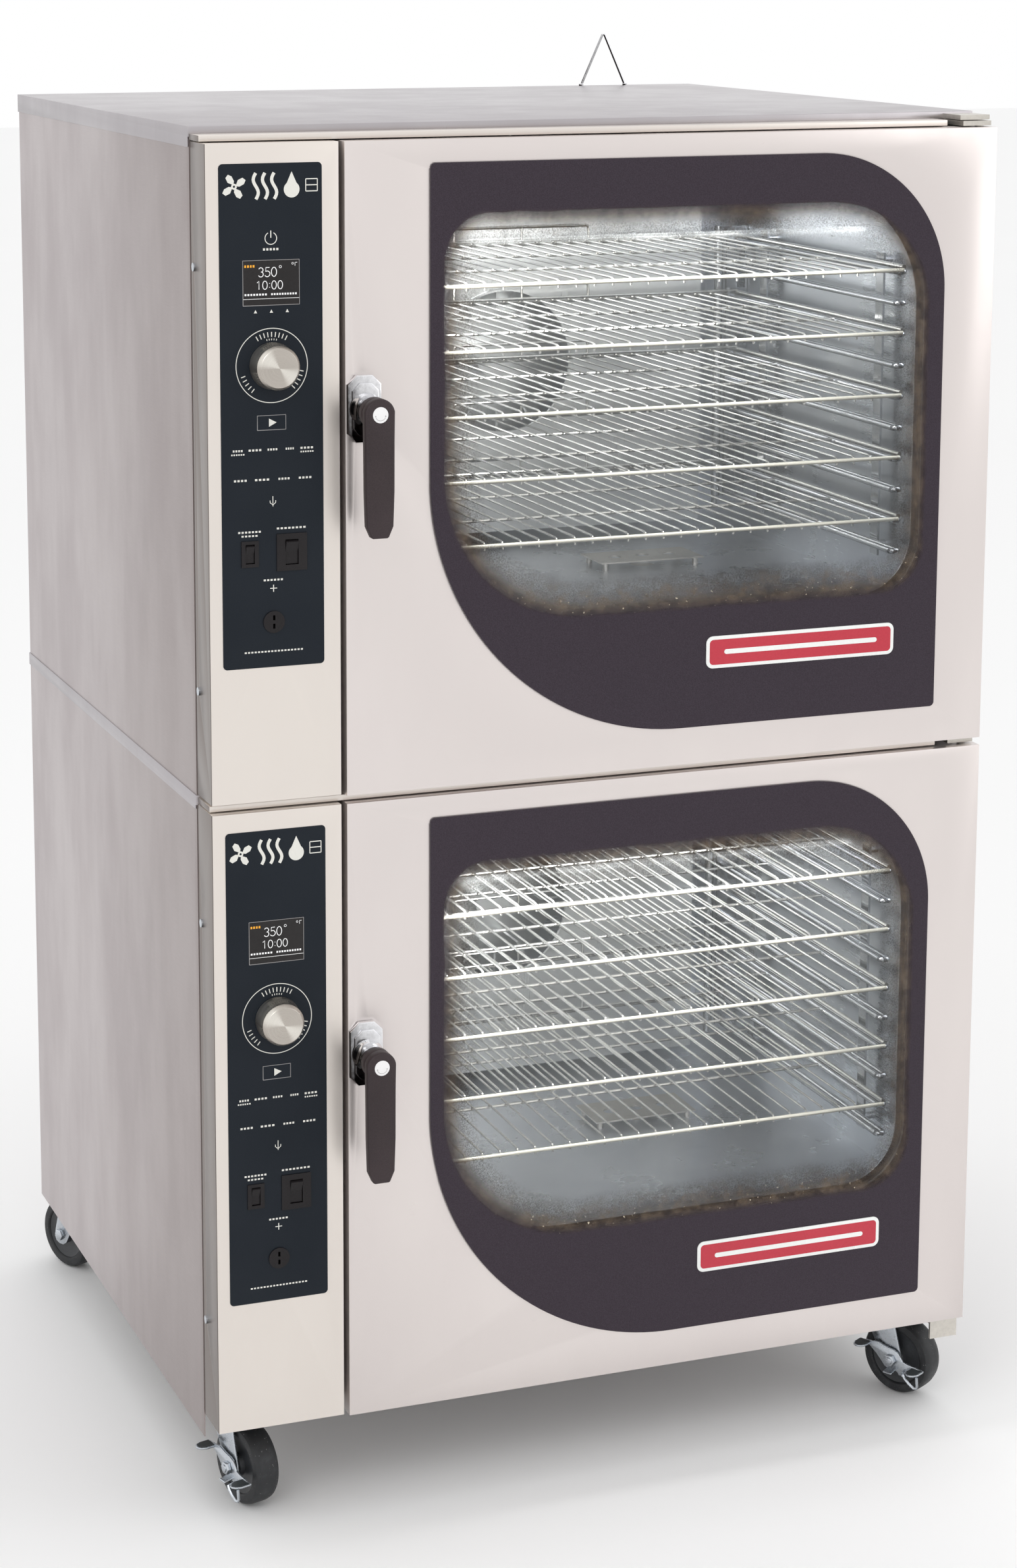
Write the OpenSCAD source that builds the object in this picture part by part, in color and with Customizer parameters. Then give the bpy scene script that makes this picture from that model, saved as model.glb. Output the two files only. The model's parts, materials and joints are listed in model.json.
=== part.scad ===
// Double-stacked combi steamer oven on braked swivel casters.
// Built in a cabinet frame: X from the left side, Y back from the front face,
// Z up from the lower edge of the side skirts. placed() moves it to its own origin,
// on the floor under the middle of the whole oven.

/* [Cabinet] */
// Overall width of the cabinet
body_w = 1023; // [960:1:1240]
// Depth of the cabinet behind its front face
body_d = 854; // [780:1:1040]
// Height of one oven, from its base to the base of the oven above
unit_h = 786; // [760:1:960]
// Height of the skirt below the lower oven's base
skirt_h = 29; // [20:1:60]
// Thickness of the cabinet's sheet steel
sheet = 1.5; // [1:0.1:2.5]
// How far the top cap stands above the upper oven's height
roof_rise = 7; // [4:1:20]
// Depth of the top cap's turned-down side edge
roof_lip = 24; // [18:1:40]
// Depth of the stacking cap's turned-down side edge
stack_lip = 17; // [12:1:30]
// Depth of the caps' front edge
front_lip = 12; // [8:1:16]
// Free depth between the back of the cavity and the back panel
rear_space = 180; // [160:1:260]

/* [Control panel] */
// Width of the control panel, from the cabinet's side to the door gap
panel_w = 162; // [150:1:200]
// How far the control panel stands out from the cabinet front
panel_out = 62; // [50:1:70]
// Width of the printed overlay
overlay_w = 124; // [118:1:134]
// Height of the printed overlay
overlay_h = 589; // [560:1:640]
// Distance of the overlay from the panel's top edge
overlay_drop = 23; // [10:1:60]
// Width of the display glass
display_w = 69; // [50:1:90]
// Height of the display glass
display_h = 53; // [40:1:60]
// Distance from the overlay's top to the display's middle
display_drop = 137; // [120:1:150]
// Distance from the overlay's top to the knob's axis
knob_drop = 233; // [220:1:250]
// Radius of the selector knob
knob_r = 27; // [20:0.5:32]
// How far the selector knob stands out
knob_out = 31; // [20:0.5:38]
// Radius of the knob's shaft
shaft_r = 3; // [2.5:0.1:4]
// Distance from the overlay's top to the switches' middle
switch_drop = 453; // [430:1:470]
// Distance from the overlay's top to the round service port
port_drop = 535; // [520:1:550]
// Radius of the round service port
port_r = 13; // [9:0.5:16]

/* [Door] */
// Gap between the control panel and the door
panel_gap = 7; // [4:0.5:12]
// Vertical gap between the two doors
door_gap = 10; // [9:0.5:14]
// How far the door's face stands out from the cabinet front
door_out = 63; // [54:1:72]
// Gap between the door's back and the cabinet front
door_back = 8; // [6:0.5:12]
// Distance of the hinge axis from the door's right edge
pivot_in = 10; // [9:0.5:11]
// Distance of the hinge axis in front of the cabinet front
pivot_y = 34; // [34:0.5:36]
// Radius of the hinge pins
pin_r = 5; // [4:0.1:6]
// Distances of the window surround from the door's left, right, bottom and top edges
window_edges = [105, 69, 47, 27];
// Large corner radii of the window surround, bottom left and top right
window_radii = [328, 172];
// Distances of the clear glass from the surround's left, right, bottom and top edges
glass_edges = [13, 17, 146, 55];
// Corner radii of the clear glass: bottom left, bottom right, top right, top left
glass_radii = [184, 68, 140, 62];
// Thickness of each pane
pane_t = 5; // [4:0.5:6]
// Thickness of the window surround
surround_t = 2.5; // [2:0.5:4]

/* [Handle] */
// Distance of the handle's spindle from the door's left edge
handle_in = 21.5; // [21:0.5:30]
// Height of the handle's spindle above the door's lower edge
handle_z = 465; // [300:1:560]
// Length of the lever below its spindle
lever_len = 145; // [110:1:170]
// Thickness of the lever
lever_t = 22; // [16:0.5:26]
// Finger room between the lever and the door
lever_gap = 41; // [34:1:50]
// Radius of the handle's spindle
spindle_r = 8; // [6:0.5:9]

/* [Cavity] */
// Distance from the cabinet's left side to the cavity
cavity_left = 270; // [262:1:300]
// Distance from the cabinet's right side to the cavity
cavity_right = 51; // [46:1:70]
// Height of the cavity's floor above the oven's base
cavity_floor = 170; // [150:1:200]
// Distance from the cavity's ceiling up to the oven's full height
cavity_top = 86; // [60:1:100]
// Distance from the cabinet front to the fan baffle
baffle_y = 550; // [540:1:560]
// Radius of the fan opening in the baffle
fan_open_r = 100; // [85:1:110]
// Distance of the fan's axis left of the cavity's middle
fan_offset = 13; // [0:1:40]
// Height of the fan's axis above the cavity's floor
fan_z = 259; // [240:1:290]
// Distance of the drain right of the cavity's middle
drain_offset = 114; // [0:1:180]
// Distance of the drain behind the cabinet front
drain_y = 356; // [250:1:450]

/* [Racks] */
// Vertical distance between two guide levels
guide_pitch = 40; // [36:1:44]
// Height of the lowest guide level above the cavity's floor
first_guide = 60; // [50:1:70]
// Radius of the guide rods
guide_r = 4; // [3:0.5:5]
// Gap between the cavity wall and the rack's edge
rack_side = 21; // [19:0.5:24]
// Distance from the cabinet front to the rack's front rail
rack_front = 30; // [28:1:36]
// Depth of a rack
rack_d = 500; // [470:1:505]
// Spacing of the rack's lengthwise wires
wire_pitch = 24; // [18:0.5:40]
// Half the thickness of the rack's lengthwise wires
wire_r = 1.5; // [1.2:0.1:2]
// Radius of the rack's front rail
rail_r = 2.6; // [2.2:0.1:3]
// Radius of the rack's side wires
border_r = 3; // [2.5:0.1:3.2]

/* [Casters] */
// Radius of a caster wheel
wheel_r = 50.8; // [45:0.1:54]
// Width of a caster wheel
wheel_w = 34; // [28:0.5:38]
// Overall height of a caster, from the floor to its plate
caster_h = 133; // [130:0.5:150]
// Horizontal distance from the swivel axis to the axle
caster_trail = 32; // [24:0.5:36]
// Distance of each swivel axis from the cabinet's sides
caster_in_x = 55; // [52:1:80]
// Distance of each swivel axis from the cabinet's front and back
caster_in_y = 55; // [52:1:80]
// Radius of the axles
axle_r = 5; // [4:0.1:6]

/* [Hidden] */
$fn = 64;

// Units: 0 is the lower oven, 1 the upper one
LOWER = 0;
UPPER = 1;

running = 0.08;          // radial clearance of a pin or shaft in its bore
slide_gap = 0.4;         // gap between parts that slide past each other
seam = 0.1;              // gap of a spot-welded joint
through = 1;             // how far a cut runs past the face it opens

// Control panel
panel_x = 2;                                   // left face of the control panel
panel_top_gap = 2;                             // gap above the oven's base under the panel
panel_h = unit_h - door_gap - panel_top_gap;
overlay_x = panel_x + (panel_w - panel_x - overlay_w) / 2 - 2.5;
overlay_mid = overlay_x + overlay_w / 2;
overlay_top = panel_top_gap + panel_h - overlay_drop;
overlay_t = 0.6;
panel_face = -panel_out;
overlay_face = panel_face - overlay_t;
display_z = overlay_top - display_drop;
knob_z = overlay_top - knob_drop;
switch_z = overlay_top - switch_drop;
port_z = overlay_top - port_drop;
cutoff_x = overlay_mid - 28.5;                 // middle of the heat cut-off switch
breaker_x = overlay_mid + 22.5;                // middle of the circuit breaker
cutoff_size = [19, 29];
breaker_size = [35, 42];
bezel_rim = 3;                                 // width of a switch bezel's rim
rocker_gap = 0.5;                              // gap round a rocker
rocker_tilt = 10;                              // half of a rocker's travel, in degrees
rocker_pivot = overlay_face + 3.5;             // depth of a rocker's pivot
cutoff_w = 10;                                 // width of the cut-off rocker
breaker_w = 15;                                // width of the breaker rocker
cutoff_r = cutoff_size[1] / 2 - bezel_rim - rocker_gap;
breaker_r = breaker_size[1] / 2 - 2 * bezel_rim - rocker_gap;

// Door
door_x = panel_w + panel_gap;
door_w = body_w - door_x;
door_h = unit_h - door_gap;
door_face = -door_out;
shell_edge = -22;                              // back edge of the door's outer shell
liner_edge = -30;                              // front edge of the door's inner liner
pivot_x = body_w - pivot_in;
hinge_block = [20, 38, 30];
pin_grip = 20;                                 // length of a hinge pin inside the door
win_x = door_x + window_edges[0];
win_z = window_edges[2];
win_w = door_w - window_edges[0] - window_edges[1];
win_h = door_h - window_edges[2] - window_edges[3];
glass_x = win_x + glass_edges[0];
glass_z = win_z + glass_edges[2];
glass_w = win_w - glass_edges[0] - glass_edges[1];
glass_h = win_h - glass_edges[2] - glass_edges[3];
surround_seat = 10;                            // how far the surround laps over the shell
pane_gap = 2;                                  // gap between the outer pane and the shell
pane_lap = 22;                                 // how far the inner pane laps the clear glass
liner_lap = 8;                                 // how far the liner's opening clears the clear glass

// Handle
handle_x = door_x + handle_in;
lever_back = door_face - lever_gap;
lever_front = lever_back - lever_t;
base_size = [42, 80];
base_t = 7;
neck_r = 17;
tongue = [26, 12, 10];
strike_r = 20;

// Cavity
cavity_w = body_w - cavity_left - cavity_right;
cavity_h = unit_h - cavity_floor - cavity_top;
cavity_back = body_d - rear_space;
cavity_mid = cavity_left + cavity_w / 2;
frame_t = 2;                                   // thickness of the front frame
gasket_w = 12;
gasket_t = door_back - slide_gap;
gasket_gap = 2;                                // gap between the opening and the gasket
fan_x = cavity_mid - fan_offset;
fan_axis_z = cavity_floor + fan_z;
fan_front = baffle_y + 25;
fan_len = 62;
fan_r = 116;
fan_shaft_r = 8;
motor_r = 65;
motor_len = 115;
element_r = 152;
element_tube = 6;
element_leg_z = fan_axis_z + element_r - element_tube;
baffle_gap = 20;                               // air gap beside and above the baffle
tray_h = 25;

// Racks
guide_levels = 10;
guide_len = rack_d + 2;
guide_start = rack_front + rail_r + 5.4;
guide_outer = rack_side - 1;                   // outer rod's distance from the wall
guide_inner = guide_outer + 10;
rack_x = cavity_left + rack_side;
rack_w = cavity_w - 2 * rack_side;
border_lift = 6.4;                             // side wires above the guide rods' axes
rail_lift = 2.4;                               // front rail above the guide rods' axes
wire_lift = rail_lift + rail_r + 0.9;
cross_r = 2.2;                                 // radius of the rack's cross wires
stop_w = 198;                                  // width of the rack's raised back stop
stop_h = 20;                                   // height of the rack's raised back stop

// Casters
caster_z = skirt_h;
plate_size = [76, 90, 4];
plate_holes = [56, 70];
ring_r = 30;
ring_h = 5;
head_r = 33;
head_h = 12.6;
kingpin_r = 6;
fork_gap = 3;                                  // gap between the wheel and each fork cheek
cheek_t = 3;
cheek_x = wheel_w / 2 + fork_gap;
axle_z = wheel_r - caster_h;
pedal_gap = 2;
pedal_t = 3;
pedal_x = -(cheek_x + cheek_t + pedal_gap + pedal_t);

// Rear fittings and origin
rear_out = 36;                                 // how far the pipes stand out at the back
drain_r = 19;
drain_x = cavity_mid + drain_offset;
inlet_r = 13.2;
origin_y = (body_d + rear_out + lever_front) / 2;

function unit_z(unit) = skirt_h + unit * unit_h;

// ---------- placing helpers ----------

module placed() {
    translate([-body_w / 2, -origin_y, caster_h - caster_z]) children();
}

module in_unit(unit) {
    placed() translate([0, 0, unit_z(unit)]) children();
}

module both_units() {
    for (unit = [LOWER, UPPER]) in_unit(unit) children();
}

// A flat XZ outline given thickness t, with its front at y
module slab_y(y, t) {
    translate([0, y + t, 0]) rotate([90, 0, 0]) linear_extrude(height = t) children();
}

module rod_y(r, y0, y1) {
    translate([0, y1, 0]) rotate([90, 0, 0]) cylinder(r = r, h = y1 - y0);
}

module rod_x(r, x0, x1) {
    translate([x0, 0, 0]) rotate([0, 90, 0]) cylinder(r = r, h = x1 - x0);
}

module block(low, high) {
    translate(low) cube(high - low);
}

// The waste corner outside a round of radius r, at the lower left
module corner_waste(r) {
    difference() {
        translate([-through, -through]) square(r + through);
        translate([r, r]) circle(r = r);
    }
}

// A rectangle with its own radius at each corner: bottom left, bottom right, top right, top left
module round_rect(w, h, r) {
    difference() {
        square([w, h]);
        corner_waste(r[0]);
        translate([w, 0]) mirror([1, 0]) corner_waste(r[1]);
        translate([w, h]) rotate(180) corner_waste(r[2]);
        translate([0, h]) mirror([0, 1]) corner_waste(r[3]);
    }
}

// The window surround's outline, shrunk by inset
module leaf(inset = 0) {
    small = 6;
    translate([win_x + inset, win_z + inset])
        round_rect(win_w - 2 * inset, win_h - 2 * inset,
            [window_radii[0] - inset, max(small - inset, 1), window_radii[1] - inset, max(small - inset, 1)]);
}

// The clear glass outline, grown by out
module clear_glass(out = 0) {
    translate([glass_x - out, glass_z - out])
        round_rect(glass_w + 2 * out, glass_h + 2 * out, [for (r = glass_radii) r + out]);
}

// A folded pan, open at the back, from low to high
module pan(low, high, t) {
    difference() {
        block(low, high);
        block(low + [t, t, t], [high[0] - t, high[1] + through, high[2] - t]);
    }
}

// ---------- cabinet ----------

// A roof cap with its top at z, with side and back edges of one depth and a shorter front edge
module cap(z, lip) {
    plate = 2;
    translate([0, 0, z - lip]) difference() {
        cube([body_w, body_d, lip]);
        translate([sheet, sheet, -through]) cube([body_w - 2 * sheet, body_d - 2 * sheet, lip - plate + through]);
        translate([-through, -through, -through])
            cube([body_w + 2 * through, sheet + 2 * through, lip - front_lip + through]);
    }
}

module roof_caps() {
    color("gainsboro") placed() {
        cap(unit_z(2) + roof_rise, roof_lip);
        cap(unit_z(1), stack_lip);
    }
}

module side_panels() {
    under = 2;
    color("lightgray") placed() for (x = [sheet, body_w - 2 * sheet]) {
        block([x, sheet, 0], [x + sheet, body_d - sheet, unit_z(1) - under]);
        block([x, sheet, unit_z(1)], [x + sheet, body_d - sheet, unit_z(2) + roof_rise - under]);
    }
}

module louvres(x, z, count) {
    slot = [90, 6];
    pitch = 16;
    for (i = [0 : count - 1]) translate([x, z + i * pitch]) round_rect(slot[0], slot[1], [2, 2, 2, 2]);
}

module back_panels() {
    color("lightgray") for (unit = [LOWER, UPPER]) in_unit(unit) difference() {
        slab_y(body_d - 2 * sheet, sheet) difference() {
            translate([2 * sheet, 0]) square([body_w - 4 * sheet, unit_h - 2]);
            for (x = [90, body_w - 180]) louvres(x, 520, 10);
        }
        translate([drain_x, 0, 60]) rod_y(drain_r + 1.5, body_d - 10, body_d + 10);
        for (x = inlet_places()) translate([x, 0, 90]) rod_y(inlet_r + 1.5, body_d - 10, body_d + 10);
        translate([gland_x(), 0, 120]) rod_y(13.5, body_d - 10, body_d + 10);
        translate([vent_x(), 0, 730]) rod_y(26.5, body_d - 10, body_d + 10);
    }
}

function inlet_places() = [body_w - 173, body_w - 113];
function gland_x() = 150;
function vent_x() = body_w - 263;

// Front frame, base tray, corner posts and the cavity's bearers, spot-welded to each other
module cabinet_frame() {
    inside = 2 * sheet;
    post = 30;
    wall = 2;
    tray_y = frame_t + seam;
    bearer_h = 40;
    high = unit_h - front_lip - 1;
    stiles = [[inside, 30], [140, cavity_left], [cavity_left + cavity_w, body_w - inside]];
    for (stile = stiles) slab_y(0, frame_t) difference() {
        translate([stile[0], 0]) square([stile[1] - stile[0], high]);
        translate([handle_x, handle_z]) circle(r = strike_r);
    }
    rails = [[stiles[0][1], stiles[1][0], 60, unit_h - 70],
        [stiles[1][1], stiles[2][0], cavity_floor, cavity_floor + cavity_h]];
    for (rail = rails, span = [[0, rail[2]], [rail[3], high]])
        block([rail[0] + seam, 0, span[0]], [rail[1] - seam, frame_t, span[1]]);
    difference() {
        block([inside, tray_y, 0], [body_w - inside, body_d - inside, tray_h]);
        block([inside + wall, tray_y + wall, wall],
            [body_w - inside - wall, body_d - inside - wall, tray_h + through]);
    }
    for (side = [0, 1]) translate([side * body_w, 0, 0]) mirror([side, 0, 0]) translate([inside + wall + seam, 0, 0])
        difference() {
            block([0, body_d - inside - wall - seam - post, wall + seam], [post, body_d - inside - wall - seam, unit_h - 4]);
            block([wall, body_d - inside - 2 * wall - seam - post, 0],
                [post + through, body_d - inside - 2 * wall - seam, unit_h]);
        }
    for (x = [cavity_left + 60, cavity_left + cavity_w - 100]) {
        block([x, tray_y + wall + seam, wall + seam], [x + 40, cavity_back, bearer_h]);
        for (y = [60, cavity_back - 100])
            block([x, y, bearer_h + seam], [x + 40, y + 40, cavity_floor - sheet]);
    }
}

module cabinet_frames() {
    color("silver") both_units() cabinet_frame();
}

// One welded cooking chamber: five walls, open at the front
module cavity() {
    difference() {
        block([cavity_left - sheet, frame_t, cavity_floor - sheet],
            [cavity_left + cavity_w + sheet, cavity_back + sheet, cavity_floor + cavity_h + sheet]);
        block([cavity_left, frame_t - through, cavity_floor],
            [cavity_left + cavity_w, cavity_back, cavity_floor + cavity_h]);
        translate([fan_x, 0, fan_axis_z]) rod_y(fan_shaft_r + 2, cavity_back - 5, cavity_back + 5);
        for (x = element_legs()) translate([x, 0, element_leg_z])
            rod_y(element_tube, cavity_back - 5, cavity_back + 5);
        translate([drain_x, drain_y, cavity_floor - 5]) cylinder(r = drain_r - 2, h = 10);
    }
}

function element_legs() = [fan_x - 40, fan_x + 40];

module upper_cavity() {
    color("lightsteelblue") in_unit(UPPER) cavity();
}

module lower_cavity() {
    color("lightsteelblue") in_unit(LOWER) cavity();
}

module door_gaskets() {
    out = gasket_gap + gasket_w;
    color("dimgray") both_units() slab_y(-gasket_t, gasket_t) difference() {
        translate([cavity_left - out, cavity_floor - out])
            round_rect(cavity_w + 2 * out, cavity_h + 2 * out, [16, 16, 16, 16]);
        translate([cavity_left - gasket_gap, cavity_floor - gasket_gap])
            round_rect(cavity_w + 2 * gasket_gap, cavity_h + 2 * gasket_gap, [4, 4, 4, 4]);
    }
}

// ---------- inside the cavity ----------

function guide_z(level) = cavity_floor + first_guide + level * guide_pitch;

// The guide ladder of the cavity's left wall: rod pairs between two bars, a slotted plate and a round post
module guide_ladder() {
    bar_x = guide_outer - guide_r - seam;
    bar = [3, 20];
    bars_y = [110, 450];
    post_r = 6;
    plate_t = 3;
    top = guide_z(guide_levels - 1) + 18;
    low = guide_z(0) - 18;
    plate_y = guide_start + guide_len - 6;
    post = [guide_inner + post_r + 5, baffle_y - post_r - 1];
    for (level = [0 : guide_levels - 1]) translate([0, 0, guide_z(level)]) union() {
        for (x = [guide_outer, guide_inner])
            translate([x, 0, 0]) rod_y(guide_r, guide_start, plate_y - seam);
        for (y = bars_y) translate([0, y, 0]) rod_x(2.5, bar_x + seam, guide_inner);
    }
    for (y = bars_y) union() {
        block([bar_x - bar[0], y - bar[1] / 2, low], [bar_x, y + bar[1] / 2, top]);
        for (z = [low + 14, top - 10]) translate([0, y, z]) rod_x(5, 0, bar_x - 1);
    }
    union() {
        slab_y(plate_y, plate_t) difference() {
            translate([1, low]) square([guide_inner + 2, top - low]);
            for (level = [0 : guide_levels - 2])
                translate([4, guide_z(level) + 11]) square([12, guide_pitch - 22]);
        }
        translate([post[0], post[1], low]) cylinder(r = post_r, h = top - low);
        for (z = [low, top - 12])
            block([guide_inner, plate_y, z], [post[0] + 2, post[1] + 3, z + 12]);
    }
}

module rack_guides() {
    color("silver") both_units() {
        translate([cavity_left, 0, 0]) guide_ladder();
        translate([cavity_left + cavity_w, 0, 0]) mirror([1, 0, 0]) guide_ladder();
    }
}

module fan_baffles() {
    side = 20;
    edge = 45;
    t = 1.5;
    low = [cavity_left + baffle_gap, baffle_y, cavity_floor + baffle_gap];
    high = [cavity_left + cavity_w - side - edge, baffle_y + 28, cavity_floor + cavity_h - baffle_gap];
    color("silver") both_units() union() {
        difference() {
            pan(low, high, t);
            translate([fan_x, 0, fan_axis_z]) rod_y(fan_open_r, baffle_y - 5, baffle_y + 5);
        }
        translate([fan_x, 0, fan_axis_z]) difference() {
            rod_y(fan_open_r + 1, baffle_y - 4, baffle_y + 1);
            rod_y(fan_open_r - 2, baffle_y - 5, baffle_y + 5);
        }
        for (x = [low[0] + 12, high[0] - 12], z = [low[2] + 12, high[2] - 12])
            translate([x, 0, z]) rod_y(6, baffle_y + 1, cavity_back);
    }
}

// A wheel with radial blades on a back disc, and the shaft that runs into the motor
module fan_wheel() {
    blades = 12;
    disc_y = fan_front + fan_len;
    translate([fan_x, 0, fan_axis_z]) union() {
        rod_y(fan_r, disc_y - 3, disc_y);
        rod_y(26, fan_front + 8, disc_y);
        rod_y(fan_shaft_r, disc_y - 20, cavity_back + motor_len - 30);
        for (i = [0 : blades - 1]) rotate([0, i * 360 / blades, 0])
            block([70, fan_front, -1.5], [fan_r - 2, disc_y - 1, 1.5]);
    }
}

module fan_motors() {
    foot = 12;
    y0 = cavity_back + sheet;
    color("dimgray") both_units() translate([fan_x, 0, fan_axis_z]) difference() {
        union() {
            rod_y(motor_r, y0 + foot, y0 + foot + motor_len - 20);
            rod_y(motor_r + 14, y0 + foot, y0 + foot + 5);
            for (a = [45 : 90 : 315]) rotate([0, a, 0]) translate([motor_r + 5, 0, 0]) rod_y(6, y0, y0 + foot + 1);
        }
        rod_y(fan_shaft_r + running, y0, cavity_back + motor_len - 25);
    }
}

module heating_elements() {
    rings = [baffle_y + 34, baffle_y + 56, baffle_y + 78];
    color("darkslategray") both_units() union() {
        for (y = rings) translate([fan_x, y, fan_axis_z]) rotate([90, 0, 0])
            rotate_extrude() translate([element_r, 0]) circle(r = element_tube);
        for (x = element_legs()) translate([x, 0, element_leg_z])
            rod_y(element_tube - 1, rings[0] - 3, cavity_back + 24);
    }
}

// A sliding wire rack on guide level 2 * number - 1, counted from the bottom
module rack(unit, number) {
    mid = rack_x + rack_w / 2;
    count = floor((rack_w / 2 - guide_inner + rack_side - guide_r - 6) / wire_pitch);
    rail_half = rack_w / 2 - (guide_inner - rack_side) - guide_r - 1;
    back = rack_front + rack_d;
    color("lightyellow") in_unit(unit) translate([0, 0, guide_z(2 * number - 1)]) union() {
        for (x = [rack_x + border_r, rack_x + rack_w - border_r])
            translate([x, 0, border_lift]) rod_y(border_r, rack_front, back);
        translate([0, rack_front, rail_lift]) rod_x(rail_r, rack_x + border_r, rack_x + rack_w - border_r);
        for (y = [rack_front + rack_d / 3, rack_front + rack_d * 2 / 3, back - 6])
            translate([0, y, wire_lift - wire_r - cross_r + 0.8]) rod_x(cross_r, mid - rail_half, mid + rail_half);
        for (x = [for (i = [-count : count]) mid + i * wire_pitch])
            block([x - wire_r, rack_front, wire_lift - wire_r], [x + wire_r, back - 3, wire_lift + wire_r]);
        translate([0, back - 14, wire_lift + wire_r + cross_r - 0.8])
            rod_x(cross_r, rack_x + border_r, rack_x + rack_w - border_r);
        for (x = [mid - stop_w / 2, mid, mid + stop_w / 2])
            translate([x, back - 14, wire_lift + wire_r]) cylinder(r = 2, h = stop_h);
        translate([0, back - 14, wire_lift + wire_r + stop_h]) rod_x(cross_r, mid - stop_w / 2 - 2, mid + stop_w / 2 + 2);
    }
}

// ---------- control panel ----------

module control_panels() {
    color("gainsboro") both_units() difference() {
        pan([panel_x, panel_face, panel_top_gap], [panel_w, -1, panel_top_gap + panel_h], sheet);
        panel_cuts(panel_face - 5, panel_face + 5, 0);
        for (z = panel_screw_z()) translate([0, -13, z]) rod_x(2.8, 0, 10);
    }
}

function panel_screw_z() = [130, 632];

// Holes for the display, knob shaft, switches and port, from y0 back to y1
module panel_cuts(y0, y1, grow) {
    block([overlay_mid - display_w / 2 - grow, y0, display_z - display_h / 2 - grow],
        [overlay_mid + display_w / 2 + grow, y1, display_z + display_h / 2 + grow]);
    translate([overlay_mid, 0, knob_z]) rod_y(shaft_r + 1.5, y0, y1);
    for (s = [[cutoff_x, cutoff_size], [breaker_x, breaker_size]])
        block([s[0] - s[1][0] / 2, y0, switch_z - s[1][1] / 2], [s[0] + s[1][0] / 2, y1, switch_z + s[1][1] / 2]);
    translate([overlay_mid, 0, port_z]) rod_y(port_r - 2, y0, y1);
}

module control_overlays() {
    color("midnightblue") both_units() difference() {
        slab_y(overlay_face, overlay_t) translate([overlay_x, overlay_top - overlay_h])
            round_rect(overlay_w, overlay_h, [5, 5, 5, 5]);
        panel_cuts(overlay_face - 5, panel_face + 5, 0);
    }
}

// Display glass with its board and the knob's encoder behind it
module display_modules() {
    glass_t = 3;
    board_y = -45;
    fit = 0.2;
    color("black") both_units() difference() {
        union() {
            block([overlay_mid - display_w / 2 + fit, overlay_face, display_z - display_h / 2 + fit],
                [overlay_mid + display_w / 2 - fit, overlay_face + glass_t, display_z + display_h / 2 - fit]);
            block([overlay_mid - display_w / 2 + 4, overlay_face + glass_t - 1, display_z - display_h / 2 + 4],
                [overlay_mid + display_w / 2 - 4, board_y + 1, display_z + display_h / 2 - 4]);
            block([overlay_mid - 50, board_y, knob_z - 60], [overlay_mid + 50, board_y + 1.6, display_z + 60]);
            translate([overlay_mid, 0, knob_z]) rod_y(8, panel_face + sheet, board_y + 4);
        }
        translate([overlay_mid, 0, knob_z]) rod_y(shaft_r + running, panel_face - 5, board_y + 10);
    }
}

// A switch body with a rimmed bezel and an open front for its rocker
module switch_socket(x, size, rocker_w, r) {
    fit = 0.3;
    front = overlay_face - 1.4;
    translate([x, 0, switch_z]) difference() {
        union() {
            block([-size[0] / 2 - 1, front, -size[1] / 2 - 1], [size[0] / 2 + 1, overlay_face, size[1] / 2 + 1]);
            block([-size[0] / 2 + fit, overlay_face - 0.5, -size[1] / 2 + fit],
                [size[0] / 2 - fit, panel_face + 28, size[1] / 2 - fit]);
        }
        block([-rocker_w / 2 - rocker_gap, front - through, -r - rocker_gap],
            [rocker_w / 2 + rocker_gap, rocker_pivot + r + 1, r + rocker_gap]);
    }
}

module service_port() {
    front = overlay_face - 1.6;
    translate([overlay_mid, 0, port_z]) difference() {
        union() {
            rod_y(port_r, front, overlay_face);
            rod_y(port_r - 2.4, overlay_face - 0.5, panel_face + 16);
        }
        for (z = [-5, 5]) block([-1.4, front - through, z - 3], [1.4, panel_face + 10, z + 3]);
    }
}

module panel_sockets() {
    color([0.12, 0.11, 0.12]) both_units() {
        switch_socket(cutoff_x, cutoff_size, cutoff_w, cutoff_r);
        switch_socket(breaker_x, breaker_size, breaker_w, breaker_r);
        service_port();
    }
}

// A see-saw switch button, resting with its lower half pressed in
module rocker(unit, x, w, r) {
    nose = 3;
    rise = r * sin(rocker_tilt);
    color([0.16, 0.15, 0.16]) in_unit(unit) translate([x - w / 2, rocker_pivot, switch_z])
        rotate([rocker_tilt, 0, 0]) rotate([90, 0, 90]) linear_extrude(height = w) intersection() {
            circle(r = r);
            polygon([[-nose, 0], [-nose - rise, -r], [r * 0.5, -r], [r * 0.5, r], [-nose - rise, r]]);
        }
}

module knob(unit) {
    gap = 0.5;
    color("silver") in_unit(unit) translate([overlay_mid, overlay_face - gap, knob_z]) union() {
        rotate([90, 0, 0]) rotate_extrude() polygon([[0, 0], [knob_r, 0], [knob_r, knob_out * 0.55],
            [knob_r - 2, knob_out * 0.88], [knob_r - 4.5, knob_out - 1], [0, knob_out]]);
        rod_y(shaft_r, -1, 16);
    }
}

// ---------- doors ----------

module hinge_bores(r) {
    for (z = [-through, door_h - pin_grip - 4]) translate([pivot_x, -pivot_y, z])
        cylinder(r = r, h = pin_grip + 4 + through);
}

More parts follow.
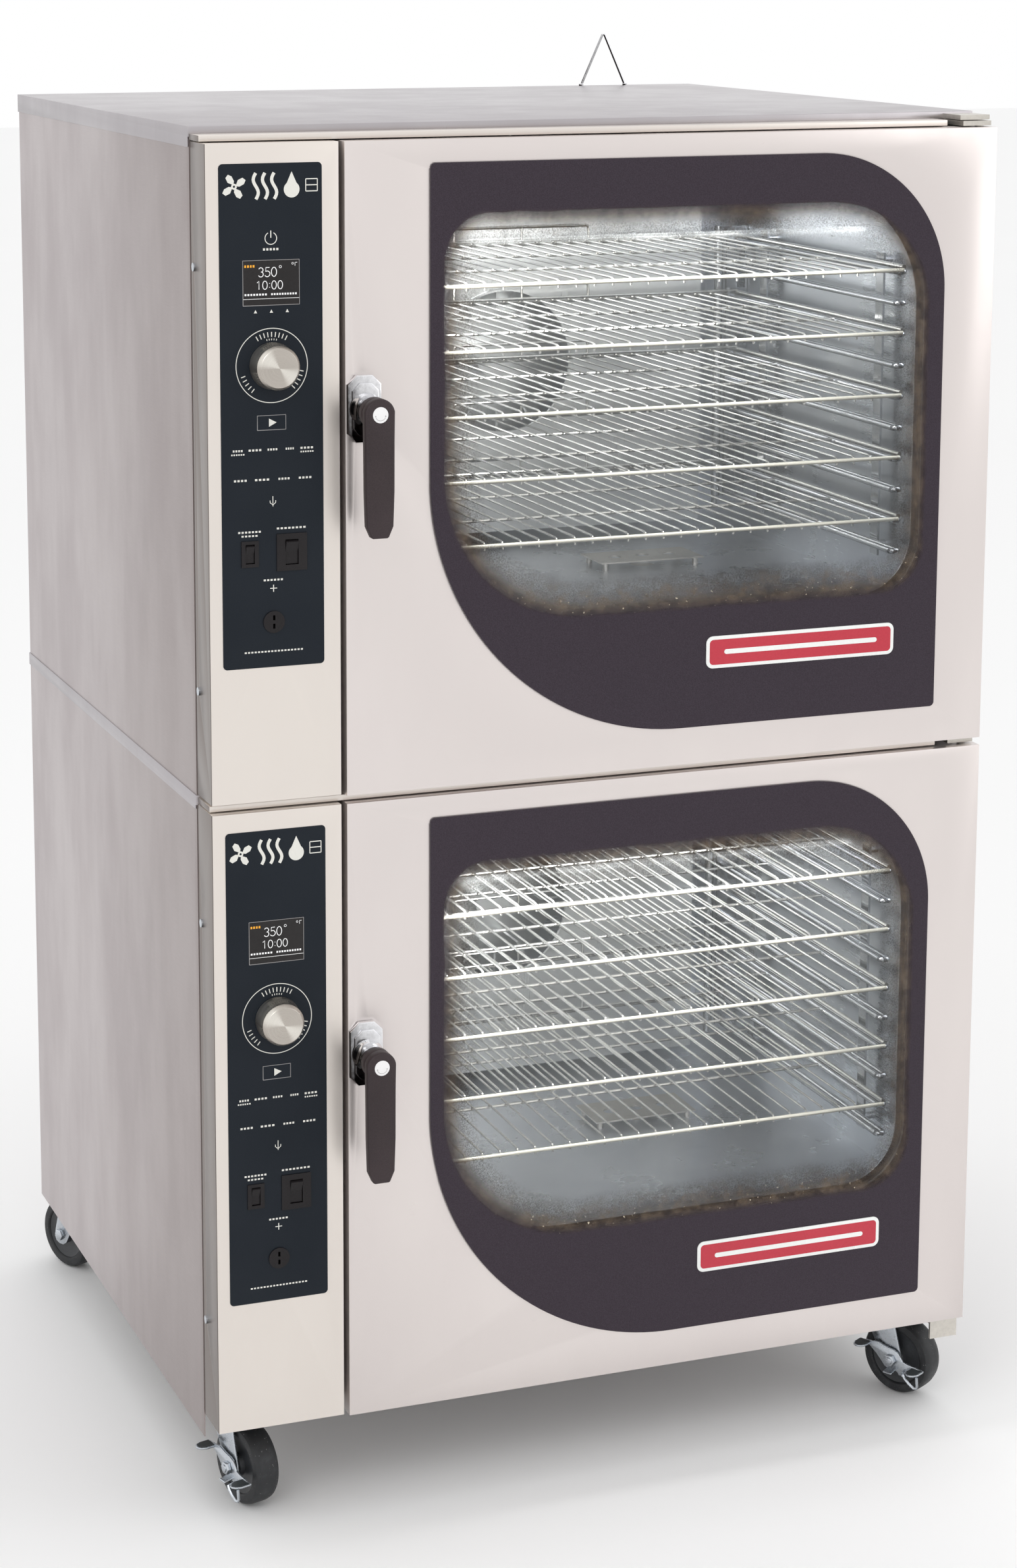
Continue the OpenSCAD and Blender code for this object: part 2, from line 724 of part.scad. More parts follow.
// Outer shell with the window and the handle's hole
module door_shell(unit) {
    color("gainsboro") in_unit(unit) difference() {
        pan([door_x, door_face, 0], [body_w, shell_edge, door_h], sheet);
        slab_y(door_face - 5, 10) leaf(surround_seat);
        translate([handle_x, 0, handle_z]) rod_y(spindle_r + 1, door_face - 5, door_face + 5);
        hinge_bores(pin_r + 1.5);
    }
}

// Inner liner, a pan open to the front, with the two hinge blocks welded in
module door_liner(unit) {
    nest = sheet + 0.2;
    low = [door_x + nest, liner_edge, nest];
    high = [body_w - nest, -door_back, door_h - nest];
    color("silver") in_unit(unit) difference() {
        union() {
            difference() {
                block(low, high);
                block([low[0] + sheet, low[1] - through, low[2] + sheet],
                    [high[0] - sheet, high[1] - sheet, high[2] - sheet]);
                slab_y(high[1] - 5, 10) clear_glass(liner_lap);
            }
            for (z = [low[2], high[2] - hinge_block[2]])
                block([high[0] - hinge_block[0], high[1] - hinge_block[1], z], [high[0], high[1], z + hinge_block[2]]);
        }
        translate([handle_x, 0, handle_z]) rod_y(spindle_r + 1, high[1] - 5, high[1] + 5);
        hinge_bores(pin_r + running);
    }
}

module window_surround(unit) {
    color([0.23, 0.19, 0.22]) in_unit(unit) slab_y(door_face - surround_t, surround_t) difference() {
        leaf();
        clear_glass();
    }
}

module window_panes(unit) {
    color([0.7, 0.75, 0.75, 0.4]) in_unit(unit) {
        slab_y(door_face, pane_t) leaf(surround_seat + pane_gap);
        slab_y(-door_back - sheet - pane_t, pane_t) clear_glass(pane_lap);
    }
}

module handle_base(unit) {
    w = base_size[0] / 2;
    h = base_size[1] / 2;
    cut = 11;
    color("silver") in_unit(unit) translate([handle_x, 0, handle_z]) difference() {
        union() {
            slab_y(door_face - base_t, base_t) polygon([[-w + cut, -h], [w - cut, -h], [w, -h + cut], [w, h - cut],
                [w - cut, h], [-w + cut, h], [-w, h - cut], [-w, -h + cut]]);
            rod_y(neck_r - 2, lever_back + 8, door_face - base_t + 1);
        }
        rod_y(spindle_r + running, lever_back, door_face + 1);
    }
}

// Lever, spindle and the latch tongue behind the door
module door_handle(unit) {
    top_r = 19;
    tip = 8;
    color([0.24, 0.2, 0.21]) in_unit(unit) translate([handle_x, 0, handle_z]) union() {
        slab_y(lever_front, lever_t) union() {
            circle(r = top_r);
            polygon([[-top_r + 1, 2], [-15, -lever_len + tip], [-15 + tip - 2, -lever_len],
                [17 - tip + 2, -lever_len], [17, -lever_len + tip], [top_r, 2]]);
        }
        rod_y(neck_r, lever_back - 1, lever_back + 7);
        rod_y(spindle_r, lever_back, -2);
        block([-tongue[0] / 2, -3, -tongue[2] / 2], [tongue[0] / 2, -3 + tongue[1], tongue[2] / 2]);
    }
}

// A hinge leaf between z0 and z1, with a foot on the cabinet front
module hinge_leaf(z0, z1, reach, inset) {
    block([body_w - 42 + inset, -reach, z0], [body_w - inset, 0, z1]);
}

module hinge_pin(z0, z1) {
    translate([pivot_x, -pivot_y, z0]) cylinder(r = pin_r, h = z1 - z0);
}

// Hinge brackets with their pins, and the latch strikes
module door_hardware() {
    top = unit_z(1) + door_h;
    mid = unit_z(1);
    low_top = unit_z(0) + door_h;
    low = unit_z(0);
    color("silver") placed() {
        union() {
            hinge_leaf(top + 1.5, top + 7.5, 50, 1.5);
            hinge_leaf(top + 8.5, top + 14.5, 44, 0.5);
            block([body_w - 40, -4, top + 1.5], [body_w - 2, 0, top + 14.5]);
            hinge_pin(top - pin_grip, top + 3);
        }
        union() {
            hinge_leaf(low_top + 2, mid - 2, 50, 3);
            hinge_pin(low_top - pin_grip, mid + pin_grip);
        }
        union() {
            hinge_leaf(low - 10, low - 4, 50, 1.5);
            block([body_w - 40.5, -50, low - 30], [body_w - 1.5, -46, low - 5]);
            block([body_w - 40.5, -4, low - 10], [body_w - 1.5, 0, low + 16]);
            hinge_pin(low - 5, low + pin_grip);
        }
        for (unit = [LOWER, UPPER]) translate([handle_x, 0, unit_z(unit) + handle_z]) slab_y(-2.5, 2.5) difference() {
            translate([-19, -34]) round_rect(38, 68, [4, 4, 4, 4]);
            circle(r = strike_r - 4);
        }
    }
}

module panel_screws() {
    edges = [for (x = [30, body_w / 3, body_w * 2 / 3, body_w - 30], z = [18, unit_h - 40]) [x, z]];
    color("silver") both_units() {
        for (z = panel_screw_z()) translate([0, -13, z]) {
            rod_x(5, 0.2, panel_x);
            rod_x(2.5, panel_x - 1, panel_x + 8);
        }
        for (e = edges) translate([e[0], 0, e[1]]) rod_y(4, body_d - sheet, body_d);
    }
}

// ---------- rear and roof ----------

// Pipes and glands at the back, with the drain and its cover on the cavity floor
module plumbing_fittings() {
    back = body_d + rear_out;
    cover = [150, 74];
    step = 1.5;
    color("silver") both_units() {
        difference() {
            union() {
                translate([drain_x, drain_y, 60]) cylinder(r = drain_r - step, h = cavity_floor - sheet - 60);
                translate([drain_x, 0, 60]) rod_y(drain_r - step, drain_y, body_d + 1);
                translate([drain_x, 0, 60]) rod_y(drain_r, body_d, back);
                translate([drain_x, drain_y, 60]) sphere(r = drain_r + 0.5);
            }
            translate([drain_x, 0, 60]) rod_y(drain_r - 4, drain_y + 30, back + through);
        }
        for (x = inlet_places()) translate([x, 0, 90]) difference() {
            union() {
                rod_y(inlet_r - step, body_d - 60, body_d + 1);
                rod_y(inlet_r, body_d, back - 8);
            }
            rod_y(inlet_r - 4, body_d - 30, back);
        }
        translate([gland_x(), 0, 120]) difference() {
            union() {
                rod_y(12, body_d - 30, back - 8);
                translate([0, body_d + 6, 0]) rotate([90, 0, 0]) cylinder(r = 18, h = 6, $fn = 6);
            }
            rod_y(8, body_d - 40, back);
        }
        translate([vent_x(), 0, 730]) difference() {
            rod_y(25, body_d - 60, back - 4);
            rod_y(23, body_d - 50, back);
        }
        translate([drain_x, drain_y, cavity_floor]) union() {
            difference() {
                translate([-cover[0] / 2, -cover[1] / 2, 10]) cube([cover[0], cover[1], 2]);
                for (x = [-40, 0, 40]) translate([x, 0, 5]) cylinder(r = 9, h = 10);
            }
            for (x = [-1, 1], y = [-1, 1])
                translate([x * (cover[0] / 2 - 9), y * (cover[1] / 2 - 9), 0]) cylinder(r = 4, h = 11);
        }
    }
}

// A bent wire stand at the roof's back edge
module roof_wire() {
    wire = 1.8;
    half = 35;
    height = 76;
    start = 1;
    lean = atan(half / (height - start));
    leg = (height - start) / cos(lean);
    y = body_d - 8;
    color("gray") placed() translate([body_w - 142, y, unit_z(2) + roof_rise]) union() {
        for (s = [-1, 1]) {
            translate([s * half, 0, start]) rotate([0, -s * lean, 0]) cylinder(r = wire, h = leg);
            translate([s * half, 0, 0]) cylinder(r = 3.5, h = 3);
        }
        translate([0, 0, height]) sphere(r = wire + 0.4);
    }
}

// ---------- casters ----------

function caster_place(left, front) = [left ? caster_in_x : body_w - caster_in_x,
    front ? caster_in_y : body_d - caster_in_y, caster_z];

// Turned so that each wheel stands as it was last pushed
function caster_turn(left, front) = front ? (left ? 15 : 30) : (left ? 204 : 162);

module at_caster(left, front) {
    placed() translate(caster_place(left, front)) rotate([0, 0, caster_turn(left, front)]) children();
}

// Plate, bearing ring and kingpin, which stay still while the fork swivels
module caster_plates() {
    color("silver") placed() for (left = [true, false], front = [true, false])
        translate(caster_place(left, front)) union() {
            translate([-plate_size[0] / 2, -plate_size[1] / 2, -plate_size[2]]) cube(plate_size);
            translate([0, 0, -plate_size[2] - ring_h]) cylinder(r = ring_r, h = ring_h + 1);
            translate([0, 0, -27]) cylinder(r = kingpin_r, h = 24);
            translate([0, 0, -30]) cylinder(r = 9, h = 5, $fn = 6);
            for (x = [-1, 1], y = [-1, 1])
                translate([x * plate_holes[0] / 2, y * plate_holes[1] / 2, -plate_size[2] - 5])
                    cylinder(r = 6.5, h = 6, $fn = 6);
        }
}

// Swivel head, two cheeks and the axle bolt
module fork(left, front) {
    top = -plate_size[2] - ring_h - slide_gap;
    end = cheek_x + cheek_t;
    color("silver") at_caster(left, front) union() {
        difference() {
            translate([0, 0, top - head_h]) cylinder(r = head_r, h = head_h);
            translate([0, 0, top - head_h - through]) cylinder(r = kingpin_r + running, h = head_h + 2 * through);
            translate([0, 0, top - head_h - through]) cylinder(r = 13, h = 7);
        }
        for (x = [-end, cheek_x]) translate([x, 0, 0]) rotate([90, 0, 90]) linear_extrude(height = cheek_t) union() {
            polygon([[-25, top - 3], [22, top - 3], [22, top - head_h - 4], [-caster_trail + 14, axle_z],
                [-caster_trail - 14, axle_z]]);
            translate([-caster_trail, axle_z]) circle(r = 14);
        }
        translate([0, -caster_trail, axle_z]) {
            rod_x(axle_r, pedal_x - 5, end + 4);
            rotate([0, 90, 0]) translate([0, 0, end - 0.5]) cylinder(r = 8.5, h = 5.5, $fn = 6);
            rotate([0, 90, 0]) translate([0, 0, pedal_x - 6]) cylinder(r = 8.5, h = 5.4, $fn = 6);
        }
    }
}

module caster_wheel(left, front) {
    w = wheel_w / 2;
    hub = w + fork_gap - 1;
    color([0.13, 0.13, 0.14]) at_caster(left, front) translate([0, -caster_trail, axle_z]) rotate([0, 90, 0])
        rotate_extrude() polygon([[axle_r + running, -hub], [13, -hub], [15, -w + 4], [35, -w + 4], [38, -w],
            [wheel_r - 5, -w], [wheel_r - 1, -w + 4], [wheel_r, -w + 9], [wheel_r, w - 9], [wheel_r - 1, w - 4],
            [wheel_r - 5, w], [38, w], [35, w - 4], [15, w - 4], [13, hub], [axle_r + running, hub]]);
}

// A two-ended foot lever on the axle's outer end
module brake_pedal(left, front) {
    tab_len = 22;
    color("silver") at_caster(left, front) translate([pedal_x, -caster_trail, axle_z]) union() {
        rotate([90, 0, 90]) linear_extrude(height = pedal_t) difference() {
            union() {
                circle(r = 15);
                polygon([[-12, 9], [-12, -9], [-30, -9], [-50, -6], [-50, -3], [-34, -1]]);
                polygon([[2, 14.5], [14, -3], [34, 12], [48, 14], [48, 17], [28, 19]]);
            }
            circle(r = axle_r + running);
        }
        block([-tab_len, -50, -6], [pedal_t, -34, -3]);
        block([-tab_len, 30, 14], [pedal_t, 48, 17]);
    }
}

roof_caps();
side_panels();
back_panels();
cabinet_frames();
upper_cavity();
lower_cavity();
door_gaskets();
rack_guides();
fan_baffles();
fan_motors();
heating_elements();
control_panels();
control_overlays();
display_modules();
panel_sockets();
door_hardware();
panel_screws();
caster_plates();
plumbing_fittings();
roof_wire();
door_shell(UPPER);  // upper_door_shell
door_liner(UPPER);  // upper_door_liner
window_surround(UPPER);  // upper_window_surround
window_panes(UPPER);  // upper_window_panes
handle_base(UPPER);  // upper_handle_base
door_shell(LOWER);  // lower_door_shell
door_liner(LOWER);  // lower_door_liner
window_surround(LOWER);  // lower_window_surround
window_panes(LOWER);  // lower_window_panes
handle_base(LOWER);  // lower_handle_base
door_handle(UPPER);  // upper_door_handle
door_handle(LOWER);  // lower_door_handle
rack(UPPER, 1);  // upper_rack_1
rack(UPPER, 2);  // upper_rack_2
rack(UPPER, 3);  // upper_rack_3
rack(UPPER, 4);  // upper_rack_4
rack(UPPER, 5);  // upper_rack_5
rack(LOWER, 1);  // lower_rack_1
rack(LOWER, 2);  // lower_rack_2
rack(LOWER, 3);  // lower_rack_3
rack(LOWER, 4);  // lower_rack_4
rack(LOWER, 5);  // lower_rack_5
fork(true, true);  // front_left_fork
fork(false, true);  // front_right_fork
fork(true, false);  // rear_left_fork
fork(false, false);  // rear_right_fork
caster_wheel(true, true);  // front_left_wheel
caster_wheel(false, true);  // front_right_wheel
caster_wheel(true, false);  // rear_left_wheel
caster_wheel(false, false);  // rear_right_wheel
brake_pedal(true, true);  // front_left_brake_pedal
brake_pedal(false, true);  // front_right_brake_pedal
knob(UPPER);  // upper_knob
knob(LOWER);  // lower_knob
rocker(UPPER, cutoff_x, cutoff_w, cutoff_r);  // upper_cutoff_rocker
rocker(UPPER, breaker_x, breaker_w, breaker_r);  // upper_breaker_rocker
rocker(LOWER, cutoff_x, cutoff_w, cutoff_r);  // lower_cutoff_rocker
rocker(LOWER, breaker_x, breaker_w, breaker_r);  // lower_breaker_rocker
color("lightgray") in_unit(UPPER) fan_wheel();  // upper_fan
color("lightgray") in_unit(LOWER) fan_wheel();  // lower_fan
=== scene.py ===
import json
import math
import bmesh
import bpy
from mathutils import Matrix, Vector


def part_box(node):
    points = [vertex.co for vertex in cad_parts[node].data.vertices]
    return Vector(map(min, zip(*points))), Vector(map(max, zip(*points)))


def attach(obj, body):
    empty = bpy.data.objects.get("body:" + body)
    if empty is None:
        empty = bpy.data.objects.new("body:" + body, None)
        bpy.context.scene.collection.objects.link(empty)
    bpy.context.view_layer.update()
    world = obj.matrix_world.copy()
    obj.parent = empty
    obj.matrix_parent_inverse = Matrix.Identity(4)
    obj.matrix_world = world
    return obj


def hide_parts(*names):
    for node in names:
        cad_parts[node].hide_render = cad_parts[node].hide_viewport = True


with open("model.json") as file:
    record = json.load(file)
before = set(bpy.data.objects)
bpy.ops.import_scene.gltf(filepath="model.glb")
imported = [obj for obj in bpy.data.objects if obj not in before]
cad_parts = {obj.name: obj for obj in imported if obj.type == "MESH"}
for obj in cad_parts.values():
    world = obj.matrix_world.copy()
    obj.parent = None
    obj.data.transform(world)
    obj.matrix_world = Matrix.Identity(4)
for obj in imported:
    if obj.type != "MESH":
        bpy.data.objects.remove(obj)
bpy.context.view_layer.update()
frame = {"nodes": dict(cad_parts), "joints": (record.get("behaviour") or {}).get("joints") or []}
print("frame loaded")

mm = 0.001
units = ("lower", "upper")
cabinetLow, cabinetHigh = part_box("roof_caps")
doorLow = {unit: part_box(unit + "_door_shell")[0] for unit in units}
joints = {joint["name"]: joint for joint in frame["joints"]}


# A point of one oven in mm: x from the cabinet's left side, y back from its front and
# z up from the door's lower edge
def spot(unit, x, y, z):
    return Vector((cabinetLow.x + x * mm, cabinetLow.y + y * mm, doorLow[unit].z + z * mm))


# ---- camera, light and floor ----

camera = {
    "place": (-1.5613, -4.0423, 1.9210),
    "yaw": 0.3514,
    "pitch": 0.1711,
    "lens": 75.44,
    "shiftX": 0.0526,
    "shiftY": -0.175,
}
# Place, target, size and power of each lamp in the room
lamps = {
    "keyLight": ((-2.6, -3.4, 3.6), (0, 0, 0.9), (2.0, 1.6), 22),
    "fillLight": ((3.2, -2.6, 2.4), (0, 0, 0.9), (1.6, 2.2), 12),
    "topLight": ((0, 0.2, 4.2), (0, 0, 1.0), (2.4, 2.4), 8),
}
# The same in each chamber: place from the door's low corner, and target from there
chamberLamps = {
    "ChamberLeft": ((0.125, 0.07, 0.60), (0.45, 0.42, -0.12), (0.06, 0.16), 1.7),
    "ChamberFront": ((0.42, 0.066, 0.665), (0.0, 0.36, -0.42), (0.56, 0.05), 2.6),
}


def makeCamera():
    data = bpy.data.cameras.new("studioCamera")
    data.lens = camera["lens"]
    data.sensor_width = 36
    data.shift_x = camera["shiftX"]
    data.shift_y = camera["shiftY"]
    data.clip_end = 100
    lookout = bpy.data.objects.new("studioCamera", data)
    lookout.location = camera["place"]
    lookout.rotation_euler = (math.pi / 2 - camera["pitch"], 0, -camera["yaw"])
    bpy.context.scene.collection.objects.link(lookout)
    bpy.context.scene.camera = lookout


def areaLight(name, place, target, size, power):
    data = bpy.data.lights.new(name, "AREA")
    data.shape = "RECTANGLE"
    data.size, data.size_y = size
    data.energy = power
    lamp = bpy.data.objects.new(name, data)
    lamp.location = place
    lamp.rotation_euler = (Vector(target) - Vector(place)).to_track_quat("-Z", "Y").to_euler()
    lamp.visible_camera = False
    bpy.context.scene.collection.objects.link(lamp)


def makeStudio():
    world = bpy.data.worlds.new("paleRoom")
    world.use_nodes = True
    background = world.node_tree.nodes["Background"].inputs
    background["Color"].default_value = (1, 1, 1, 1)
    background["Strength"].default_value = 1.0
    bpy.context.scene.world = world
    for name, lamp in lamps.items():
        areaLight(name, *lamp)
    for unit in units:
        for name, (place, target, size, power) in chamberLamps.items():
            start = doorLow[unit] + Vector(place)
            areaLight(unit + name, start, start + Vector(target), size, power)
    bpy.context.scene.view_settings.view_transform = "Standard"


makeCamera()
makeStudio()
print("camera and lights ready")


# ---- shader maths ----

# Wraps a socket, so that shader maths reads as a Python expression
class Wire:
    def __init__(self, paint, socket):
        self.paint = paint
        self.socket = socket

    def maths(self, operation, first, second=None):
        sockets = {0: first}
        if second is not None:
            sockets[1] = second
        node = self.paint.add("ShaderNodeMath", {"operation": operation}, sockets)
        return Wire(self.paint, node.outputs[0])

    def __add__(self, other):
        return self.maths("ADD", self, other)

    def __sub__(self, other):
        return self.maths("SUBTRACT", self, other)

    def __mul__(self, other):
        return self.maths("MULTIPLY", self, other)

    def __abs__(self):
        return self.maths("ABSOLUTE", self)

    def larger(self, other):
        return self.maths("MAXIMUM", self, other)

    def smaller(self, other):
        return self.maths("MINIMUM", self, other)

    def above(self, other):
        return self.maths("GREATER_THAN", self, other)

    def root(self):
        return self.maths("SQRT", self)

    def wave(self):
        return self.maths("SINE", self)

    def angleTo(self, other):
        return self.maths("ARCTAN2", self, other)


# One material: add() makes any node, and the rest are the patterns that this oven needs
class Paint:
    def __init__(self, name):
        self.material = bpy.data.materials.new(name)
        self.material.use_nodes = True
        self.tree = self.material.node_tree
        self.tree.nodes.clear()

    def add(self, kind, settings=None, sockets=None):
        node = self.tree.nodes.new(kind)
        for key, value in (settings or {}).items():
            setattr(node, key, value)
        for key, value in (sockets or {}).items():
            if isinstance(value, Wire):
                self.tree.links.new(value.socket, node.inputs[key])
            else:
                node.inputs[key].default_value = value
        return node

    def out(self, node, name=0):
        return Wire(self, node.outputs[name])

    # Object coordinates in metres, moved to centre and scaled
    def coords(self, scale=(1, 1, 1), centre=(0, 0, 0)):
        here = self.out(self.add("ShaderNodeTexCoord"), "Object")
        moved = self.add("ShaderNodeVectorMath", {"operation": "SUBTRACT"}, {0: here, 1: centre})
        mapped = self.add("ShaderNodeMapping", None, {"Vector": self.out(moved), "Scale": scale})
        return self.out(mapped)

    def split(self, vector):
        node = self.add("ShaderNodeSeparateXYZ", None, {0: vector})
        return [self.out(node, i) for i in range(3)]

    def noise(self, vector, scale, detail=3.0, roughness=0.5):
        node = self.add("ShaderNodeTexNoise", None,
                        {"Vector": vector, "Scale": scale, "Detail": detail, "Roughness": roughness})
        return self.out(node, "Fac")

    def ramp(self, value, low, high, bottom=0.0, top=1.0):
        node = self.add("ShaderNodeMapRange", {"clamp": True, "interpolation_type": "SMOOTHSTEP"},
                        {0: value, 1: low, 2: high, 3: bottom, 4: top})
        return self.out(node)

    def mixColour(self, factor, first, second):
        node = self.add("ShaderNodeMix", {"data_type": "RGBA"}, {0: factor, 6: first, 7: second})
        return self.out(node, 2)

    def bump(self, height, strength, distance):
        node = self.add("ShaderNodeBump", None,
                        {"Height": height, "Strength": strength, "Distance": distance})
        return self.out(node)

    def finish(self, sockets):
        surface = self.add("ShaderNodeBsdfPrincipled", None, sockets)
        self.add("ShaderNodeOutputMaterial", None, {"Surface": self.out(surface)})
        return self.material


def rgb(red, green, blue):
    return (red, green, blue, 1.0)


# Depths from the cabinet's front, in metres: where the painted shade of a side wall's front band and edge
# ends, and the middle, flat half and full half of the pan's left flank, with a painted shadow line beyond the
# full half
sideShade = {"wander": 0.25, "band": 0.62, "bandTone": 0.55, "edge": 0.045, "edgeTone": 0.75}
flankShadowLines = {"middle": -0.0312, "flat": 0.0265, "full": 0.0300, "line": (0.045, 0.025, 0.016)}


# Brushed sheet: fine grain along one axis over slow blotches of tone, with painted shade towards
# the front of a side wall, or painted shade and painted shadow lines on left-facing faces
def brushedSteel(name, colour, dark, grain, roughness, blotch, metallic, scratch, shade=None, flankShade=None):
    paint = Paint(name)
    here = paint.coords()
    slow = paint.noise(here, 2.2, 3.0, 0.55)
    middle = paint.noise(paint.coords((1, 1, 0.35)), 11.0, 3.0, 0.6)
    lines = paint.noise(paint.coords(grain), 1.0, 2.0, 0.6)
    tone = paint.ramp(slow * 0.6 + middle * 0.4, 0.36, 0.64)
    base = paint.mixColour(tone * blotch, rgb(*colour), rgb(*dark))
    # Painted shade: a darker band towards the front of a side wall that wanders with the blotches, and a
    # darker strip at its front edge
    if shade:
        depth = paint.split(here)[1] - cabinetLow.y
        wander = (slow - 0.5) * sideShade["wander"]
        band = paint.ramp(depth + wander, 0.0, sideShade["band"], 1.0, 0.0) * sideShade["bandTone"]
        edge = paint.ramp(depth, 0.0, sideShade["edge"], sideShade["edgeTone"], 0.0)
        base = paint.mixColour(band.larger(edge), base, rgb(*shade))
    # Painted shade: left-facing faces take a darker colour, with a painted shadow line near their front and
    # back edges; the mask of these lines also drives the roughness and bump below
    if flankShade:
        facing = paint.split(paint.out(paint.add("ShaderNodeTexCoord"), "Normal"))[0]
        ahead = paint.split(here)[1] - cabinetLow.y
        lines = paint.ramp(abs(ahead - flankShadowLines["middle"]), flankShadowLines["flat"], flankShadowLines["full"])
        left = paint.ramp(facing * -1.0, 0.5, 0.9)
        side = paint.mixColour(lines, rgb(*flankShade), rgb(*flankShadowLines["line"]))
        base = paint.mixColour(left, base, side)
    rough = paint.ramp(middle, 0.3, 0.7, roughness - 0.035, roughness + 0.045) + (lines - 0.5) * 0.10
    return paint.finish({
        "Base Color": base, "Metallic": metallic, "Roughness": rough,
        "Normal": paint.bump(lines, scratch, 0.0002)})


# Bright metal with a painted reflection of a light sky and a dark floor: the colour follows the way each face
# looks, mostly lighter turned up and darker turned down
def reflectionPaintedMetal(name, dark, light, roughness, scale=240.0, metallic=0.95, low=-0.75, high=0.35, lean=-0.25):
    paint = Paint(name)
    facing = paint.out(paint.add("ShaderNodeTexCoord"), "Normal")
    across, _, up = paint.split(facing)
    fine = paint.noise(paint.coords(), scale, 3.0, 0.6)
    tone = paint.ramp(up + across * lean + (fine - 0.5) * 0.25, low, high)
    return paint.finish({
        "Base Color": paint.mixColour(tone, rgb(*dark), rgb(*light)), "Metallic": metallic,
        "Roughness": paint.ramp(fine, 0.3, 0.7, roughness * 0.85, roughness * 1.15),
        "Normal": paint.bump(fine, 0.02, 0.0002)})


# Plain part with a grained surface
def grained(name, colour, roughness, scale, depth, metallic=0.0, spread=0.15, coat=0.0, specular=0.5):
    paint = Paint(name)
    here = paint.coords()
    fine = paint.noise(here, scale, 3.0, 0.6)
    slow = paint.noise(here, 9.0, 2.0, 0.5)
    lighter = [min(1.0, c * (1 + spread) + 0.004) for c in colour]
    darker = [c * (1 - spread) for c in colour]
    base = paint.mixColour(paint.ramp(fine * 0.5 + slow * 0.5, 0.3, 0.7), rgb(*darker), rgb(*lighter))
    return paint.finish({
        "Base Color": base, "Metallic": metallic,
        "Roughness": paint.ramp(slow, 0.3, 0.7, roughness * 0.88, roughness * 1.12),
        "Coat Weight": coat, "Specular IOR Level": specular, "Normal": paint.bump(fine, depth, 0.0004)})


# Turned metal: fine rings round centre and two fans of painted highlight, set by the angle round the centre
def spunMetal(name, centre):
    paint = Paint(name)
    across, _, up = paint.split(paint.coords(centre=centre))
    radius = (across * across + up * up).root()
    turn = up.angleTo(across)
    polar = paint.add("ShaderNodeCombineXYZ", None, {0: radius * 2600.0, 1: turn * 0.15})
    rings = paint.noise(paint.out(polar), 1.0, 1.0)
    # Painted highlight: brightness set by the angle round the centre
    highlightFans = (turn * 2.0 + 2.8).wave()
    light = paint.ramp(highlightFans, 0.2, 1.0) * 0.55 + rings * 0.25
    base = paint.mixColour(light, rgb(0.42, 0.38, 0.34), rgb(0.90, 0.87, 0.80))
    return paint.finish({
        "Base Color": base, "Metallic": 0.95, "Roughness": paint.ramp(rings, 0.2, 0.8, 0.24, 0.38),
        "Normal": paint.bump(rings, 0.12, 0.0002)})


# Signed distance to a rectangle in XZ with its own radius at each corner, in metres
def roundedDistance(paint, low, high, radii):
    middle = ((low[0] + high[0]) / 2, 0, (low[1] + high[1]) / 2)
    halfWidth = (high[0] - low[0]) / 2
    halfHeight = (high[1] - low[1]) / 2
    across, _, up = paint.split(paint.coords(centre=middle))
    right = across.above(0.0)
    over = up.above(0.0)
    bottom = right * (radii[1] - radii[0]) + radii[0]
    top = right * (radii[2] - radii[3]) + radii[3]
    radius = over * (top - bottom) + bottom
    dx = abs(across) - halfWidth + radius
    dz = abs(up) - halfHeight + radius
    outX = dx.larger(0.0)
    outZ = dz.larger(0.0)
    return (outX * outX + outZ * outZ).root() + dx.larger(dz).smaller(0.0) - radius


# Toughened glass with a dark printed border that thins out to brown dots at the clear part's edge
def borderedGlass(name, low, high, radii):
    paint = Paint(name)
    here = paint.coords()
    wander = (paint.noise(here, 18.0, 3.0, 0.6) - 0.5) * 0.016
    distance = roundedDistance(paint, low, high, radii)
    solid = paint.ramp(distance + wander * 0.35, -0.016, -0.001)
    up = paint.split(here)[2]
    lowness = paint.ramp(up, low[1], low[1] + 0.09, 1.0, 0.25)
    dots = paint.noise(here, 620.0, 1.0, 0.4)
    crust = paint.noise(here, 75.0, 4.0, 0.7)
    reach = paint.ramp(distance + wander, -0.062, -0.008)
    soil = reach * paint.ramp(crust * 0.65 + dots * 0.35, 0.40, 0.66) * lowness
    veil = reach * paint.ramp(dots, 0.45, 0.60) * 0.55
    # Bright tan specks near the clear part, more towards the bottom
    brightSpecks = paint.noise(here, 210.0, 2.0, 0.5).above(0.70) * reach * lowness
    mist = paint.ramp(distance + wander * 0.5, -0.045, -0.004)
    fade = soil.larger(veil).larger(mist * mist * 0.92)
    gleam = paint.out(paint.add("ShaderNodeLayerWeight", None, {"Blend": 0.22}), "Fresnel")
    clear = gleam * 0.40 + 0.035
    alpha = solid.larger(fade * 0.8).larger(brightSpecks * 0.9).larger(clear)
    brown = paint.mixColour(paint.ramp(crust, 0.35, 0.7), rgb(0.035, 0.022, 0.014), rgb(0.16, 0.115, 0.075))
    speckled = paint.mixColour(brightSpecks, brown, rgb(0.75, 0.66, 0.50))
    tint = paint.mixColour(fade.larger(brightSpecks).above(0.05), rgb(0.80, 0.83, 0.83), speckled)
    speckle = paint.ramp(paint.noise(here, 900.0, 2.0, 0.5), 0.3, 0.7)
    enamel = paint.mixColour(speckle, rgb(0.021, 0.0125, 0.021), rgb(0.036, 0.025, 0.037))
    base = paint.mixColour(solid, tint, enamel)
    return paint.finish({
        "Base Color": base, "Roughness": paint.ramp(solid, 0.0, 1.0, 0.08, 0.30), "Alpha": alpha,
        "Specular IOR Level": 0.32, "Normal": paint.bump(speckle, 0.02, 0.0002)})


